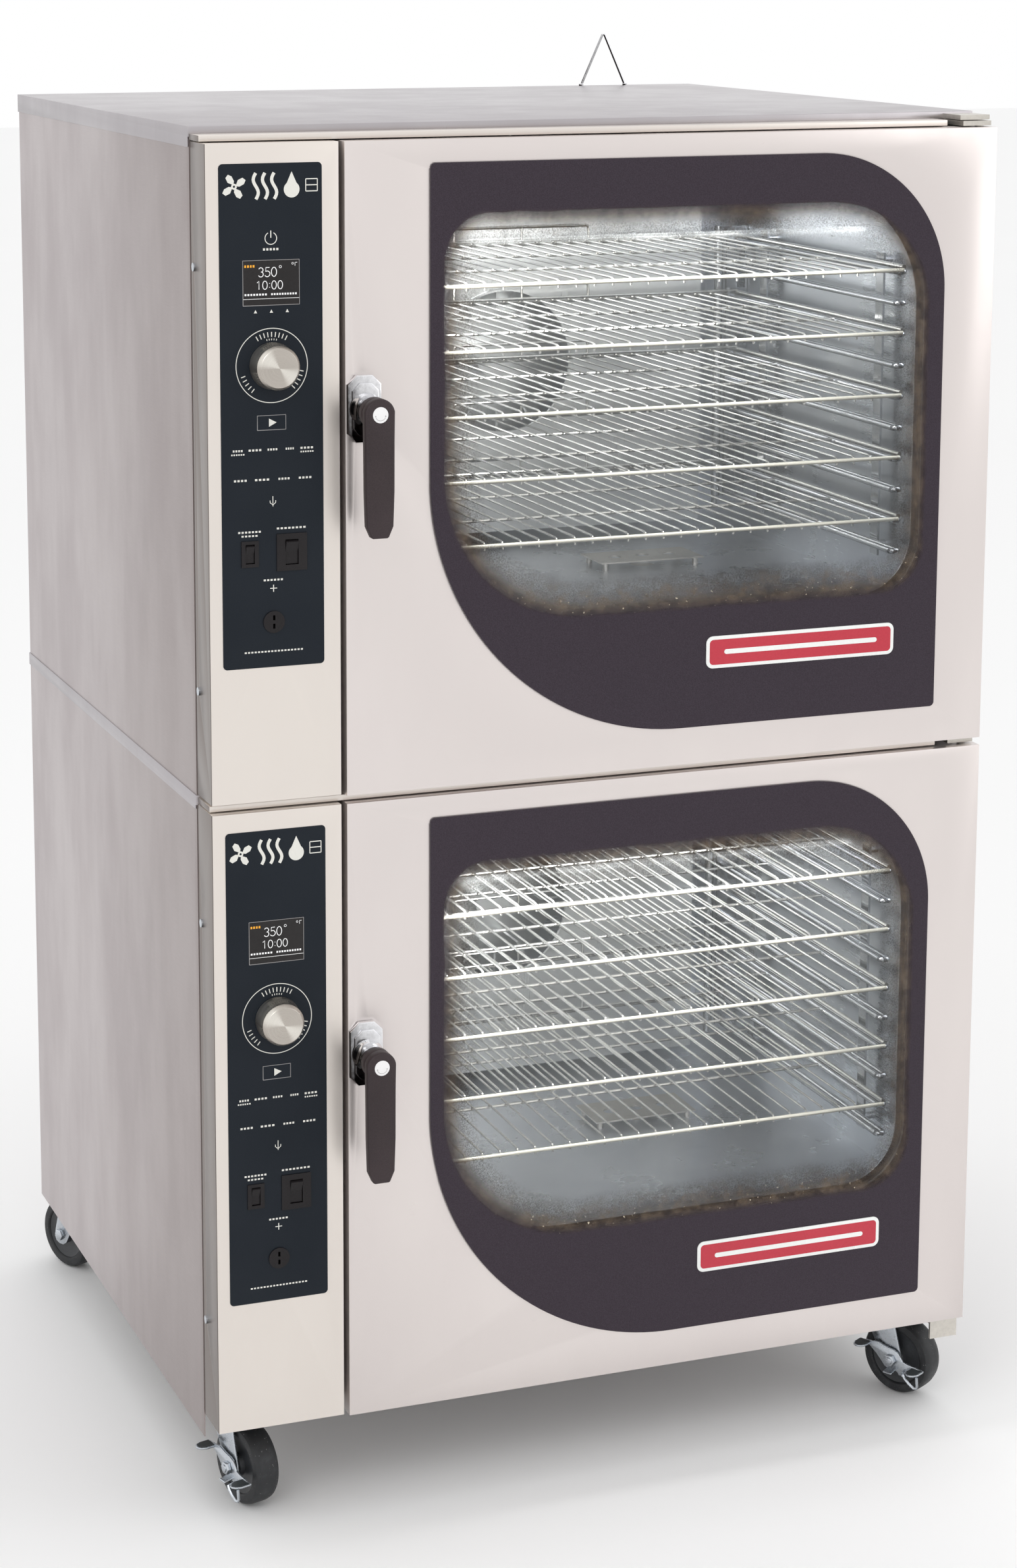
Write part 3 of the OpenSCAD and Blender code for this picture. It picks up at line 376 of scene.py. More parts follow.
# Clear inner pane
def plainGlass(name):
    paint = Paint(name)
    gleam = paint.out(paint.add("ShaderNodeLayerWeight", None, {"Blend": 0.2}), "Fresnel")
    smear = paint.noise(paint.coords((1, 1, 0.4)), 14.0, 3.0, 0.6)
    alpha = gleam * 0.25 + paint.ramp(smear, 0.4, 0.8, 0.01, 0.05)
    return paint.finish({"Base Color": rgb(0.8, 0.83, 0.82), "Roughness": 0.07, "Alpha": alpha})


# Rubber tread that is dusty where it runs
def treadRubber(name):
    paint = Paint(name)
    here = paint.coords()
    dust = paint.noise(here, 60.0, 4.0, 0.65)
    specks = paint.noise(here, 400.0, 1.0).above(0.74)
    dusty = paint.ramp(dust, 0.45, 0.75) * 0.6
    base = paint.mixColour(dusty, rgb(0.012, 0.013, 0.015), rgb(0.05, 0.052, 0.056))
    speckled = paint.mixColour(specks * 0.5, base, rgb(0.25, 0.25, 0.25))
    return paint.finish({"Base Color": speckled, "Roughness": paint.ramp(dust, 0.3, 0.7, 0.42, 0.66),
                         "Normal": paint.bump(dust, 0.15, 0.0004)})


# Pale print with a faint painted glow from emission, or lit digits
def lightPrint(name, colour, glow):
    paint = Paint(name)
    mottled = paint.noise(paint.coords(), 500.0, 2.0)
    darker = [c * 0.7 for c in colour]
    shade = paint.mixColour(paint.ramp(mottled, 0.2, 0.8) * 0.12, rgb(*colour), rgb(*darker))
    return paint.finish({
        "Base Color": shade, "Roughness": 0.5, "Emission Color": shade, "Emission Strength": glow})


# Tone, blotch tone, grain scale, roughness, blotch, metallic, scratch, then the colour of painted shade
# towards the front, or of painted shade on the left flank
steels = {
    "front": ((0.745, 0.688, 0.665), (0.69, 0.632, 0.62), (60, 60, 900), 0.33, 0.35, 0.84, 0.05),
    # Control pans: painted shade on their left flank
    "panel": ((0.77, 0.715, 0.665), (0.71, 0.655, 0.61), (60, 60, 900), 0.36, 0.35, 0.80, 0.06,
              None, (0.235, 0.205, 0.19)),
    # Side walls: the same brushed stainless as the front, painted darker for the shade they stand in, with
    # more painted shade towards the front
    "side": ((0.53, 0.485, 0.485), (0.43, 0.385, 0.39), (60, 60, 900), 0.40, 0.8, 0.86, 0.06,
             (0.27, 0.225, 0.215)),
    # Roof: the same brushed stainless as the front, painted darker for how light falls on it
    "roof": ((0.47, 0.445, 0.46), (0.38, 0.355, 0.37), (900, 60, 60), 0.33, 0.35, 0.88, 0.025),
    "chamber": ((0.70, 0.73, 0.77), (0.56, 0.59, 0.64), (40, 40, 700), 0.30, 0.7, 0.88, 0.05),
    "baffle": ((0.66, 0.67, 0.66), (0.54, 0.55, 0.55), (700, 40, 40), 0.32, 0.7, 0.85, 0.05),
    "frame": ((0.50, 0.48, 0.47), (0.40, 0.38, 0.38), (60, 60, 700), 0.45, 0.6, 0.85, 0.08),
}
paints = {name: brushedSteel(name + "Steel", *values) for name, values in steels.items()}
paints.update({
    # Painted reflection: racks, rails, guides, chrome and zinc are light on faces turned up and dark on faces
    # turned down
    "rack": reflectionPaintedMetal("rackWire", (0.16, 0.155, 0.14), (0.92, 0.91, 0.86), 0.20, 260.0, 0.85, -0.5, 0.7),
    "rail": reflectionPaintedMetal("rackRail", (0.22, 0.20, 0.15), (0.88, 0.85, 0.73), 0.34, 260.0, 0.45, -0.9, 0.2),
    "guide": reflectionPaintedMetal("guideRod", (0.14, 0.15, 0.16), (0.80, 0.82, 0.85), 0.16, 240.0, 0.95, -0.4, 0.9),
    "chrome": reflectionPaintedMetal("chromePlate", (0.030, 0.026, 0.026), (0.88, 0.88, 0.90), 0.10, 240.0, 1.0,
                       -0.34, 0.42, 0.75),
    "zinc": reflectionPaintedMetal("zincPlate", (0.16, 0.17, 0.18), (0.66, 0.70, 0.75), 0.28, 160.0, 0.90, -0.6, 0.6),
    "pipe": grained("pipeSteel", (0.60, 0.57, 0.52), 0.30, 160.0, 0.03, 0.92, 0.10),
    "gasket": grained("gasketRubber", (0.022, 0.020, 0.019), 0.62, 300.0, 0.12),
    "element": grained("elementSheath", (0.14, 0.12, 0.11), 0.42, 200.0, 0.08, 0.6),
    "motor": grained("motorPaint", (0.05, 0.05, 0.055), 0.42, 200.0, 0.08),
    # Painted shadow: dark brown for the strips in the gaps behind doors and panels
    "seam": grained("seamShadow", (0.030, 0.018, 0.012), 0.60, 200.0, 0.05),
    "overlay": grained("overlayFilm", (0.0086, 0.0125, 0.0185), 0.45, 900.0, 0.015, 0.0, 0.05, 0.0, 0.16),
    "display": grained("displayGlass", (0.014, 0.012, 0.012), 0.14, 300.0, 0.004, 0.0, 0.05, 0.0, 0.30),
    "black": grained("blackPlastic", (0.010, 0.008, 0.009), 0.38, 500.0, 0.05, 0.0, 0.15, 0.0, 0.25),
    "handle": grained("handlePlastic", (0.030, 0.019, 0.021), 0.44, 900.0, 0.16, 0.0, 0.25, 0.0, 0.34),
    "badgeField": grained("badgeEnamel", (0.50, 0.012, 0.035), 0.26, 300.0, 0.01, 0.0, 0.05, 0.4),
    "badgeRim": grained("badgeRim", (0.86, 0.87, 0.85), 0.26, 300.0, 0.01, 0.1, 0.04, 0.3),
    "disc": lightPrint("handleDisc", (0.86, 0.85, 0.85), 0.0),
    # Panel print and grey print: a faint emission that paints light onto ink which is no lamp
    "print": lightPrint("panelPrint", (0.72, 0.71, 0.66), 0.04),
    "greyPrint": lightPrint("greyPrint", (0.30, 0.29, 0.29), 0.02),
    "digits": lightPrint("displayDigits", (0.80, 0.80, 0.80), 0.22),
    "amber": lightPrint("amberDigits", (0.75, 0.34, 0.02), 0.25),
    "innerGlass": plainGlass("innerPane"),
    "tread": treadRubber("treadRubber"),
    "hub": grained("hubPlastic", (0.030, 0.032, 0.036), 0.40, 300.0, 0.06),
    "padTop": grained("padEnamel", (0.045, 0.052, 0.055), 0.42, 500.0, 0.12),
})
print("materials ready")


# ---- modelling by hand ----

weldGap = 0.00001


def letGo():
    if bpy.context.mode != "OBJECT":
        bpy.ops.object.mode_set(mode="OBJECT")
    bpy.ops.object.select_all(action="DESELECT")


def hold(*pieces):
    letGo()
    for piece in pieces:
        piece.select_set(True)
    bpy.context.view_layer.objects.active = pieces[-1]


def named(name):
    piece = bpy.context.object
    piece.name = name
    piece.data.name = name
    return piece


def editAll(piece):
    hold(piece)
    bpy.ops.object.mode_set(mode="EDIT")
    bpy.ops.mesh.select_all(action="SELECT")


# Selects the corners that pass the test, in edit mode
def pickCorners(piece, test):
    bpy.ops.mesh.select_mode(type="VERT")
    bpy.ops.mesh.select_all(action="DESELECT")
    shape = bmesh.from_edit_mesh(piece.data)
    for corner in shape.verts:
        corner.select_set(test(corner.co))
    shape.select_flush_mode()
    bmesh.update_edit_mesh(piece.data)


def bevelled(piece, width, segments=2, angle=40):
    modifier = piece.modifiers.new("edges", "BEVEL")
    modifier.width = width
    modifier.segments = segments
    modifier.limit_method = "ANGLE"
    modifier.angle_limit = math.radians(angle)
    modifier.harden_normals = False
    hold(piece)
    bpy.ops.object.modifier_apply(modifier=modifier.name)
    return piece


def smooth(piece, angle=35):
    hold(piece)
    bpy.ops.object.shade_smooth_by_angle(angle=math.radians(angle))
    return piece


def tidy(piece):
    editAll(piece)
    bpy.ops.mesh.remove_doubles(threshold=2 * weldGap)
    bpy.ops.mesh.normals_make_consistent(inside=False)
    bpy.ops.object.mode_set(mode="OBJECT")
    return piece


def settle(piece):
    hold(piece)
    bpy.ops.object.transform_apply(location=True, rotation=True, scale=True)
    return piece


def joined(name, pieces):
    hold(*pieces)
    if len(pieces) > 1:
        bpy.ops.object.join()
    return named(name)


def setPaint(piece, paint):
    piece.data.materials.clear()
    piece.data.materials.append(paints[paint] if isinstance(paint, str) else paint)


# Gives a finished piece its paint and its body, and hides the CAD nodes that it replaces
def dress(piece, paint, body, slot, *nodes):
    setPaint(piece, paint)
    settle(piece)
    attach(piece, body)
    if nodes:
        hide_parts(*nodes)
    return piece


# A flat sheet of one oven in XZ from low to high (mm), with a radius at each corner, pushed
# back to its thickness
def roundedSheet(name, unit, low, high, radii, front, thick, segments):
    a = spot(unit, low[0], front, low[1])
    b = spot(unit, high[0], front, high[1])
    letGo()
    bpy.ops.mesh.primitive_plane_add(size=1, location=(a + b) / 2, rotation=(math.pi / 2, 0, 0))
    piece = named(name)
    piece.scale = (b.x - a.x, b.z - a.z, 1)
    settle(piece)
    corners = [(a.x, a.z), (b.x, a.z), (b.x, b.z), (a.x, b.z)]
    for (x, z), radius in zip(corners, radii):
        if radius > 0:
            editAll(piece)
            pickCorners(piece, lambda co: abs(co.x - x) < weldGap and abs(co.z - z) < weldGap)
            bpy.ops.mesh.bevel(affect="VERTICES", offset=radius * mm, segments=segments, profile=0.5)
            bpy.ops.object.mode_set(mode="OBJECT")
    editAll(piece)
    bpy.ops.mesh.extrude_region_move(TRANSFORM_OT_translate={"value": (0, thick * mm, 0)})
    bpy.ops.object.mode_set(mode="OBJECT")
    return tidy(piece)


# A chain of straight edges through points, as a single line of vertices
def chain(name, points):
    letGo()
    bpy.ops.mesh.primitive_plane_add(size=0.01, location=points[0])
    piece = named(name)
    settle(piece)
    editAll(piece)
    bpy.ops.mesh.merge(type="CENTER")
    for start, end in zip(points, points[1:]):
        bpy.ops.mesh.extrude_vertices_move(TRANSFORM_OT_translate={"value": Vector(end) - Vector(start)})
    bpy.ops.object.mode_set(mode="OBJECT")
    return piece


# Round wire along points, its radius in mm
def wireAlong(name, points, radius, rings=2):
    piece = chain(name, points)
    hold(piece)
    bpy.ops.object.convert(target="CURVE")
    piece = bpy.context.object
    piece.data.bevel_depth = radius * mm
    piece.data.bevel_resolution = rings
    piece.data.use_fill_caps = True
    bpy.ops.object.convert(target="MESH")
    return tidy(named(name))


# Turns a profile of (radius, height) in mm about an axis through centre
def lathe(name, profile, centre, axis, steps):
    axis = Vector(axis).normalized()
    side = axis.orthogonal().normalized()
    piece = chain(name, [Vector(centre) + side * (r * mm) + axis * (h * mm) for r, h in profile])
    editAll(piece)
    bpy.ops.mesh.spin(steps=steps, angle=2 * math.pi, center=centre, axis=axis, dupli=False)
    bpy.ops.object.mode_set(mode="OBJECT")
    return smooth(tidy(piece), 32)


# A flat outline, filled and pushed by thick (mm)
def outlineSheet(name, points, thick):
    piece = chain(name, points + [points[0]])
    editAll(piece)
    bpy.ops.mesh.remove_doubles(threshold=weldGap)
    bpy.ops.mesh.edge_face_add()
    bpy.ops.mesh.extrude_region_move(TRANSFORM_OT_translate={"value": Vector(thick) * mm})
    bpy.ops.object.mode_set(mode="OBJECT")
    return tidy(piece)


def arc(centre, radius, start, end, steps):
    turns = [math.radians(start + (end - start) * i / steps) for i in range(steps + 1)]
    return [(centre[0] + radius * math.cos(t), centre[1] + radius * math.sin(t)) for t in turns]


# A block of one oven between two corners (mm)
def block(name, unit, low, high):
    a, b = spot(unit, *low), spot(unit, *high)
    letGo()
    bpy.ops.mesh.primitive_cube_add(size=1, location=(a + b) / 2)
    piece = named(name)
    piece.scale = b - a
    return settle(piece)


# A copy of a CAD node with its sheet edges rolled over
def rolled(node, name, width):
    source = frame["nodes"][node]
    piece = source.copy()
    piece.data = source.data.copy()
    bpy.context.scene.collection.objects.link(piece)
    piece.parent = None
    piece.name = name
    piece.data.name = name
    for key in [k for k in piece.keys() if k.startswith("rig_")]:
        del piece[key]
    editAll(piece)
    bpy.ops.mesh.remove_doubles(threshold=weldGap)
    bpy.ops.mesh.dissolve_limited(angle_limit=math.radians(1.0))
    bpy.ops.object.mode_set(mode="OBJECT")
    return smooth(bevelled(piece, width), 30)


# ---- fixed sheet metal ----

cadPaints = {
    "back_panels": "side", "cabinet_frames": "frame", "upper_cavity": "chamber", "lower_cavity": "chamber",
    "door_gaskets": "gasket", "rack_guides": "guide", "fan_baffles": "baffle", "fan_motors": "motor",
    "heating_elements": "element", "control_overlays": "overlay", "display_modules": "display",
    "panel_sockets": "black", "panel_screws": "zinc", "caster_plates": "zinc", "plumbing_fittings": "pipe",
    "side_panels": "side", "door_hardware": "pipe", "upper_fan": "baffle", "lower_fan": "baffle",
}
unitPaints = {"door_liner": "chamber", "cutoff_rocker": "black", "breaker_rocker": "black"}
rolledEdge = {"pan": 0.0012, "door": 0.0014}


def paintCad():
    for node, paint in cadPaints.items():
        setPaint(frame["nodes"][node], paint)
    for unit in units:
        for part, paint in unitPaints.items():
            setPaint(frame["nodes"][unit + "_" + part], paint)


def makeSheetMetal():
    for node, name, paint in (("roof_caps", "roofCaps", "roof"), ("control_panels", "controlPans", "panel")):
        dress(rolled(node, name, rolledEdge["pan"]), paint, "root", "brushed_stainless", node)
    for unit in units:
        shell = rolled(unit + "_door_shell", unit + "DoorShell", rolledEdge["door"])
        dress(shell, "front", unit + "_door", "brushed_stainless", unit + "_door_shell")


paintCad()
makeSheetMetal()
print("sheet metal ready")


# ---- door glass ----

glass = {
    "leafLow": (274, 47), "leafHigh": (954, 749), "leafRadii": (328, 6, 172, 6),
    "clearLow": (287, 193), "clearHigh": (937, 694), "clearRadii": (184, 68, 140, 62),
    "front": -65.5, "thick": 4.5, "edge": 0.0006, "innerFront": -14.3, "innerThick": 4, "lap": 18,
}


def makeDoorGlass(unit):
    low = spot(unit, glass["clearLow"][0], 0, glass["clearLow"][1])
    high = spot(unit, glass["clearHigh"][0], 0, glass["clearHigh"][1])
    radii = [r * mm for r in glass["clearRadii"]]
    paint = borderedGlass(unit + "BorderedGlass", (low.x, low.z), (high.x, high.z), radii)
    outer = roundedSheet(unit + "DoorGlass", unit, glass["leafLow"], glass["leafHigh"],
                         glass["leafRadii"], glass["front"], glass["thick"], 40)
    smooth(bevelled(outer, glass["edge"], 1, 60), 30)
    dress(outer, paint, unit + "_door", "surround_enamel", unit + "_window_surround")
    lap = glass["lap"]
    inner = roundedSheet(unit + "InnerPane", unit, [v - lap for v in glass["clearLow"]],
                         [v + lap for v in glass["clearHigh"]], [r + lap for r in glass["clearRadii"]],
                         glass["innerFront"], glass["innerThick"], 16)
    dress(smooth(inner), "innerGlass", unit + "_door", "door_glass", unit + "_window_panes")


badge = {
    "low": (635, 119.5), "high": (893.5, 160), "corner": 9, "proud": 1.6, "edge": 0.0005,
    "rim": 4.5, "fieldCorner": 5, "film": 0.5, "lift": 0.3, "stripe": 6, "inset": 24, "stripeCorner": 3,
}


def makeBadge(unit):
    (x0, z0), (x1, z1) = badge["low"], badge["high"]
    rim, inset, film = badge["rim"], badge["inset"], badge["film"]
    middle, half = (z0 + z1) / 2, badge["stripe"] / 2
    front = glass["front"] - badge["proud"]
    plate = roundedSheet(unit + "BadgePlate", unit, (x0, z0), (x1, z1), [badge["corner"]] * 4,
                         front, badge["proud"], 8)
    bevelled(plate, badge["edge"], 2, 60)
    field = roundedSheet(unit + "BadgeField", unit, (x0 + rim, z0 + rim), (x1 - rim, z1 - rim),
                         [badge["fieldCorner"]] * 4, front - badge["lift"], film, 8)
    stripe = roundedSheet(unit + "BadgeStripe", unit, (x0 + inset, middle - half),
                          (x1 - inset, middle + half), [badge["stripeCorner"]] * 4,
                          front - 2 * badge["lift"], film, 6)
    for piece, paint in ((plate, "badgeRim"), (field, "badgeField"), (stripe, "badgeRim")):
        dress(smooth(piece), paint, unit + "_door", "surround_enamel")


for unit in units:
    makeDoorGlass(unit)
    makeBadge(unit)
print("door glass ready")


# ---- control panel ----

overlay = {
    "face": -62.6, "middle": 79.5, "symbols": 727, "power": 667, "display": (79.5, 616),
    "displaySize": (69, 53), "arrows": 583, "arrowGap": 19.2, "dial": (79.5, 520), "dialRadius": 43.2,
    "start": (61.4, 95.9, 445, 462),
    # How far ink stands off the face, before and behind it, and how deep sheets and lines of it are
    "inkFront": 0.08, "inkBack": 0.05, "inkSheet": 0.12, "inkDeep": 0.16,
    # Cooking pictograms: fan blade as (radius, width), hot air waves, steam drop, tick of levels
    "fan": 36, "blade": ((2, 0), (7, 5.5), (13, 6.0), (15.5, 2.0), (12, -1.5), (6, -2.2)),
    "waves": (62, 73, 84), "drop": 105, "levels": (122, 136),
    # Start, end, count, inner radius, outer radius and width of the ticks round the dial
    "ticks": ((119, 61, 9, 33.2, 39.0, 1.3), (101, 79, 5, 29.3, 31.4, 1.1),
              (199, 231, 5, 34.0, 39.4, 1.3), (-12, -45, 5, 34.0, 39.4, 1.3)),
    # Rows beside the sockets and switches: left and right of the middle, height, size and count
    "rows": ((-48, -35, 422, 2.4, 4), (-29, -12, 422, 2.4, 4), (-6, 7, 422, 2.4, 4),
             (16, 27, 422, 2.4, 4), (34, 51, 422, 2.4, 4), (-47, -30, 387, 2.4, 4),
             (-21.6, -2.6, 387, 2.4, 4), (6.9, 21.9, 387, 2.4, 4), (31.8, 48.8, 387, 2.4, 4),
             (-50, -33, 417.6, 1.8, 6), (34, 51, 417.6, 1.8, 6), (-42.5, -13.5, 326, 2.2, 7),
             (-38.5, -17.5, 321.4, 2.0, 5), (4.5, 41.5, 328.5, 2.2, 8), (-12, 13, 268, 2.2, 6),
             (-36, 37, 183, 1.9, 18)),
    # An arrow and a plus below the sockets: width, then points from the middle
    "marks": ((0.9, (0, 355), (0, 367)),
              (0.9, (-3.4, 362), (-3.4, 359.5), (0, 356.5), (3.4, 359.5), (3.4, 362)),
              (1.1, (-4.2, 258), (4.2, 258)), (1.1, (0, 253.8), (0, 262.2))),
}


# Points (x, z) of one oven, all at depth y
def onPlane(unit, y, points):
    return [spot(unit, x, y, z) for x, z in points]


# Flat ink line along points (x, z) in mm
def inkLine(unit, points, width, face=overlay["face"]):
    places = onPlane(unit, face, points)
    line = wireAlong("ink", places, width / 2, 1)
    editAll(line)
    bpy.ops.transform.resize(value=(1, overlay["inkDeep"] / width, 1), center_override=(0, places[0].y, 0))
    bpy.ops.object.mode_set(mode="OBJECT")
    return line


def inkFrame(unit, x0, x1, z0, z1, width, face=overlay["face"]):
    return inkLine(unit, [(x0, z0), (x1, z0), (x1, z1), (x0, z1), (x0, z0)], width, face)


def inkShape(unit, points, face=overlay["face"]):
    return outlineSheet("ink", onPlane(unit, face - overlay["inkFront"], points), (0, overlay["inkSheet"], 0))


# Radial ticks round the dial, in place of words
def inkTicks(unit, start, end, count, inner, outer, width):
    cx, cz = overlay["dial"]
    marks = []
    for i in range(count):
        turn = math.radians(start + (end - start) * i / (count - 1))
        points = [(cx + radius * math.cos(turn), cz + radius * math.sin(turn)) for radius in (inner, outer)]
        marks.append(inkLine(unit, points, width))
    return marks


# A row of short blocks, in place of a printed word
def inkRow(unit, x0, x1, z, height, count, face=overlay["face"]):
    step = (x1 - x0) / count
    front, back = face - overlay["inkFront"], face + overlay["inkBack"]
    return [block("ink", unit, (x0 + i * step, front, z - height / 2),
                  (x0 + (i + 0.62) * step, back, z + height / 2)) for i in range(count)]


# Strokes of each character, for a height of 1
digits = {
    "3": [arc((0.30, 0.74), 0.25, 155, -80, 12) + arc((0.29, 0.27), 0.28, 78, -155, 14)],
    "5": [[(0.54, 1.0), (0.14, 1.0), (0.10, 0.57)] + arc((0.28, 0.31), 0.31, 112, -150, 14)],
    "0": [[(0.31 + 0.29 * x, 0.5 + 0.5 * y) for x, y in arc((0, 0), 1, 90, -270, 24)]],
    "1": [[(0.10, 0.80), (0.34, 1.0), (0.34, 0.0)]],
    ":": [[(0.12, 0.20), (0.12, 0.27)], [(0.12, 0.66), (0.12, 0.73)]],
}
colonPitch = 0.36


def inkNumber(unit, text, x, z, height, width, pitch, face):
    strokes = []
    for letter in text:
        for stroke in digits[letter]:
            points = [(x + px * height, z + pz * height) for px, pz in stroke]
            strokes.append(inkLine(unit, points, width, face))
        x += height * (colonPitch if letter == ":" else pitch)
    return strokes


def makePictograms(unit):
    z = overlay["symbols"]
    marks = []
    cx = overlay["fan"]
    for turn in (20, 110, 200, 290):
        c, s = math.cos(math.radians(turn)), math.sin(math.radians(turn))
        marks.append(inkShape(unit, [(cx + r * c - w * s, z + r * s + w * c) for r, w in overlay["blade"]]))
    marks.append(inkLine(unit, arc((cx, z), 2.4, 0, 360, 18), 2.4))
    for x in overlay["waves"]:
        wave = [(x + 3.0 * math.sin(t * math.pi / 6), z - 15 + 2.5 * t) for t in range(13)]
        marks.append(inkLine(unit, wave, 4.4))
    x = overlay["drop"]
    drop = [(x, z + 16), (x - 5.8, z + 3)] + arc((x, z - 4.5), 9.5, 150, 390, 18) + [(x + 5.8, z + 3)]
    marks.append(inkShape(unit, drop))
    x0, x1 = overlay["levels"]
    for dz in (-7, 0, 7):
        marks.append(inkLine(unit, [(x0, z + dz), (x1, z + dz)], 1.3))
    for x in (x0, x1):
        marks.append(inkLine(unit, [(x, z - 7), (x, z + 7)], 1.0))
    return marks


# Power symbol and arrows, which only the upper oven has
def makePowerMarks(unit):
    mid, z = overlay["middle"], overlay["power"]
    marks = [inkLine(unit, arc((mid, z), 7.0, 62, -242, 30), 1.1),
             inkLine(unit, [(mid, z + 0.6), (mid, z + 8.8)], 1.2)]
    marks += inkRow(unit, mid - 9.5, mid + 10.5, z - 12.6, 2.6, 5)
    z = overlay["arrows"]
    for i in (-1, 0, 1):
        x = mid + i * overlay["arrowGap"]
        marks.append(inkShape(unit, [(x - 2, z - 1.8), (x + 2, z - 1.8), (x, z + 2)]))
    return marks


def makeOverlay(unit):
    mid = overlay["middle"]
    white = makePictograms(unit)
    if unit == "upper":
        white += makePowerMarks(unit)
    white.append(inkLine(unit, arc(overlay["dial"], overlay["dialRadius"], 0, 360, 96), 1.1))
    for ticks in overlay["ticks"]:
        white += inkTicks(unit, *ticks)
    x0, x1, z0, z1 = overlay["start"]
    grey = [inkFrame(unit, x0, x1, z0, z1, 0.9)]
    middle = (z0 + z1) / 2
    white.append(inkShape(unit, [(mid - 4.0, middle - 4.8), (mid + 5.2, middle), (mid - 4.0, middle + 4.8)]))
    for left, right, z, height, count in overlay["rows"]:
        white += inkRow(unit, mid + left, mid + right, z, height, count)
    for width, *points in overlay["marks"]:
        white.append(inkLine(unit, [(mid + x, z) for x, z in points], width))
    # Display: frame, line over the soft keys, numbers
    dx, dz = overlay["display"]
    halfWidth, halfHeight = [size / 2 - 0.5 for size in overlay["displaySize"]]
    face = overlay["face"] - 0.1
    left, right, low, high = dx - halfWidth, dx + halfWidth, dz - halfHeight, dz + halfHeight
    grey.append(inkFrame(unit, left, right, low, high, 0.9, face))
    dress(joined(unit + "OverlayPrint", white), "print", "root", "overlay_film")
    glow = [inkLine(unit, [(left, low + 7.6), (right, low + 7.6)], 0.55, face)]
    glow += inkNumber(unit, "350", 64.0, dz + 7.0, 10.6, 1.0, 0.74, face)
    glow.append(inkLine(unit, arc((90.6, dz + 18.0), 1.4, 0, 360, 14), 0.6, face))
    glow += inkNumber(unit, "10:00", 61.5, dz - 7.6, 9.6, 0.95, 0.78, face)
    glow += inkRow(unit, 47.4, 75.4, dz - 13.4, 2.2, 8, face)
    glow += inkRow(unit, 79.4, 111.4, dz - 13.4, 2.2, 10, face)
    glow.append(inkLine(unit, arc((105.5, dz + 21.4), 1.1, 0, 360, 12), 0.5, face))
    glow.append(inkLine(unit, [(108.4, dz + 18.6), (108.4, dz + 22.4), (111.0, dz + 22.4)], 0.6, face))
    dress(joined(unit + "DisplayDigits", glow), "digits", "root", "display_glass")
    amber = joined(unit + "DisplayNotice", inkRow(unit, 47.4, 60.8, dz + 19.4, 2.8, 4, face))
    dress(amber, "amber", "root", "display_glass")
    dress(joined(unit + "PanelLines", grey), "greyPrint", "root", "overlay_film")


knob = {
    "centre": (79.5, 520), "seat": 0.2,
    "side": [(25.4, 0.0), (27.3, 0.4), (27.6, 3.0), (26.9, 10.0), (26.3, 19.0), (26.0, 24.0), (25.9, 25.6),
             (25.5, 26.3), (22.9, 30.3), (22.5, 30.7), (22.0, 30.9), (0.0, 30.9)],
}


def makeKnob(unit):
    centre = spot(unit, knob["centre"][0], overlay["face"] - knob["seat"], knob["centre"][1])
    piece = lathe(unit + "KnobTurned", knob["side"], centre, (0, -1, 0), 72)
    dress(piece, spunMetal(unit + "SpunMetal", centre), unit + "_knob_body", "knob_metal", unit + "_knob")


for unit in units:
    makeOverlay(unit)
    makeKnob(unit)
print("control panels ready")


# ---- handles ----

# Outlines are (x, z) from the hub's centre and profiles are (radius, height)
handle = {
    "x": 190.5, "z": 465, "front": -125.3, "levelBack": -112, "headBack": -97.5, "topRadius": 18.6,
    "lever": [(-17.8, -30), (-17.4, -90), (-16.2, -131), (-10.6, -143.8), (-8.6, -145), (8.6, -145),
              (10.6, -143.8), (16.2, -131), (17.6, -90), (17.8, -30)],
    "hub": [(0, 0), (15.2, 0), (16.6, 0.6), (17.9, 2.0), (18.5, 4.2), (18.5, 15.5), (17.9, 17.0),
            (16.8, 17.6), (0, 17.6)],
    "disc": [(0, 0), (9.0, 0), (9.4, 0.1), (9.4, 0.35), (9.1, 0.5), (0, 0.5)],
    "markRadius": 6.6, "tip": [(5.2, -2.0), (6.1, -0.4), (7.0, -2.0)],
}
seat = {
    "plate": (21, 40), "plateCorner": 11, "back": -63, "front": -70,
    "boss": (16.5, 31), "bossCorner": 9, "bossFront": -73.5, "sunk": 0.5,
    "neck": [(0, 0), (19.5, 0), (19.2, 1.0), (17.0, 4.0), (15.6, 9.0), (15.4, 16), (16.4, 20), (17.2, 22.5),
             (17.2, 23.6), (0, 23.6)],
}


def fromHub(points):
    return [(handle["x"] + x, handle["z"] + z) for x, z in points]


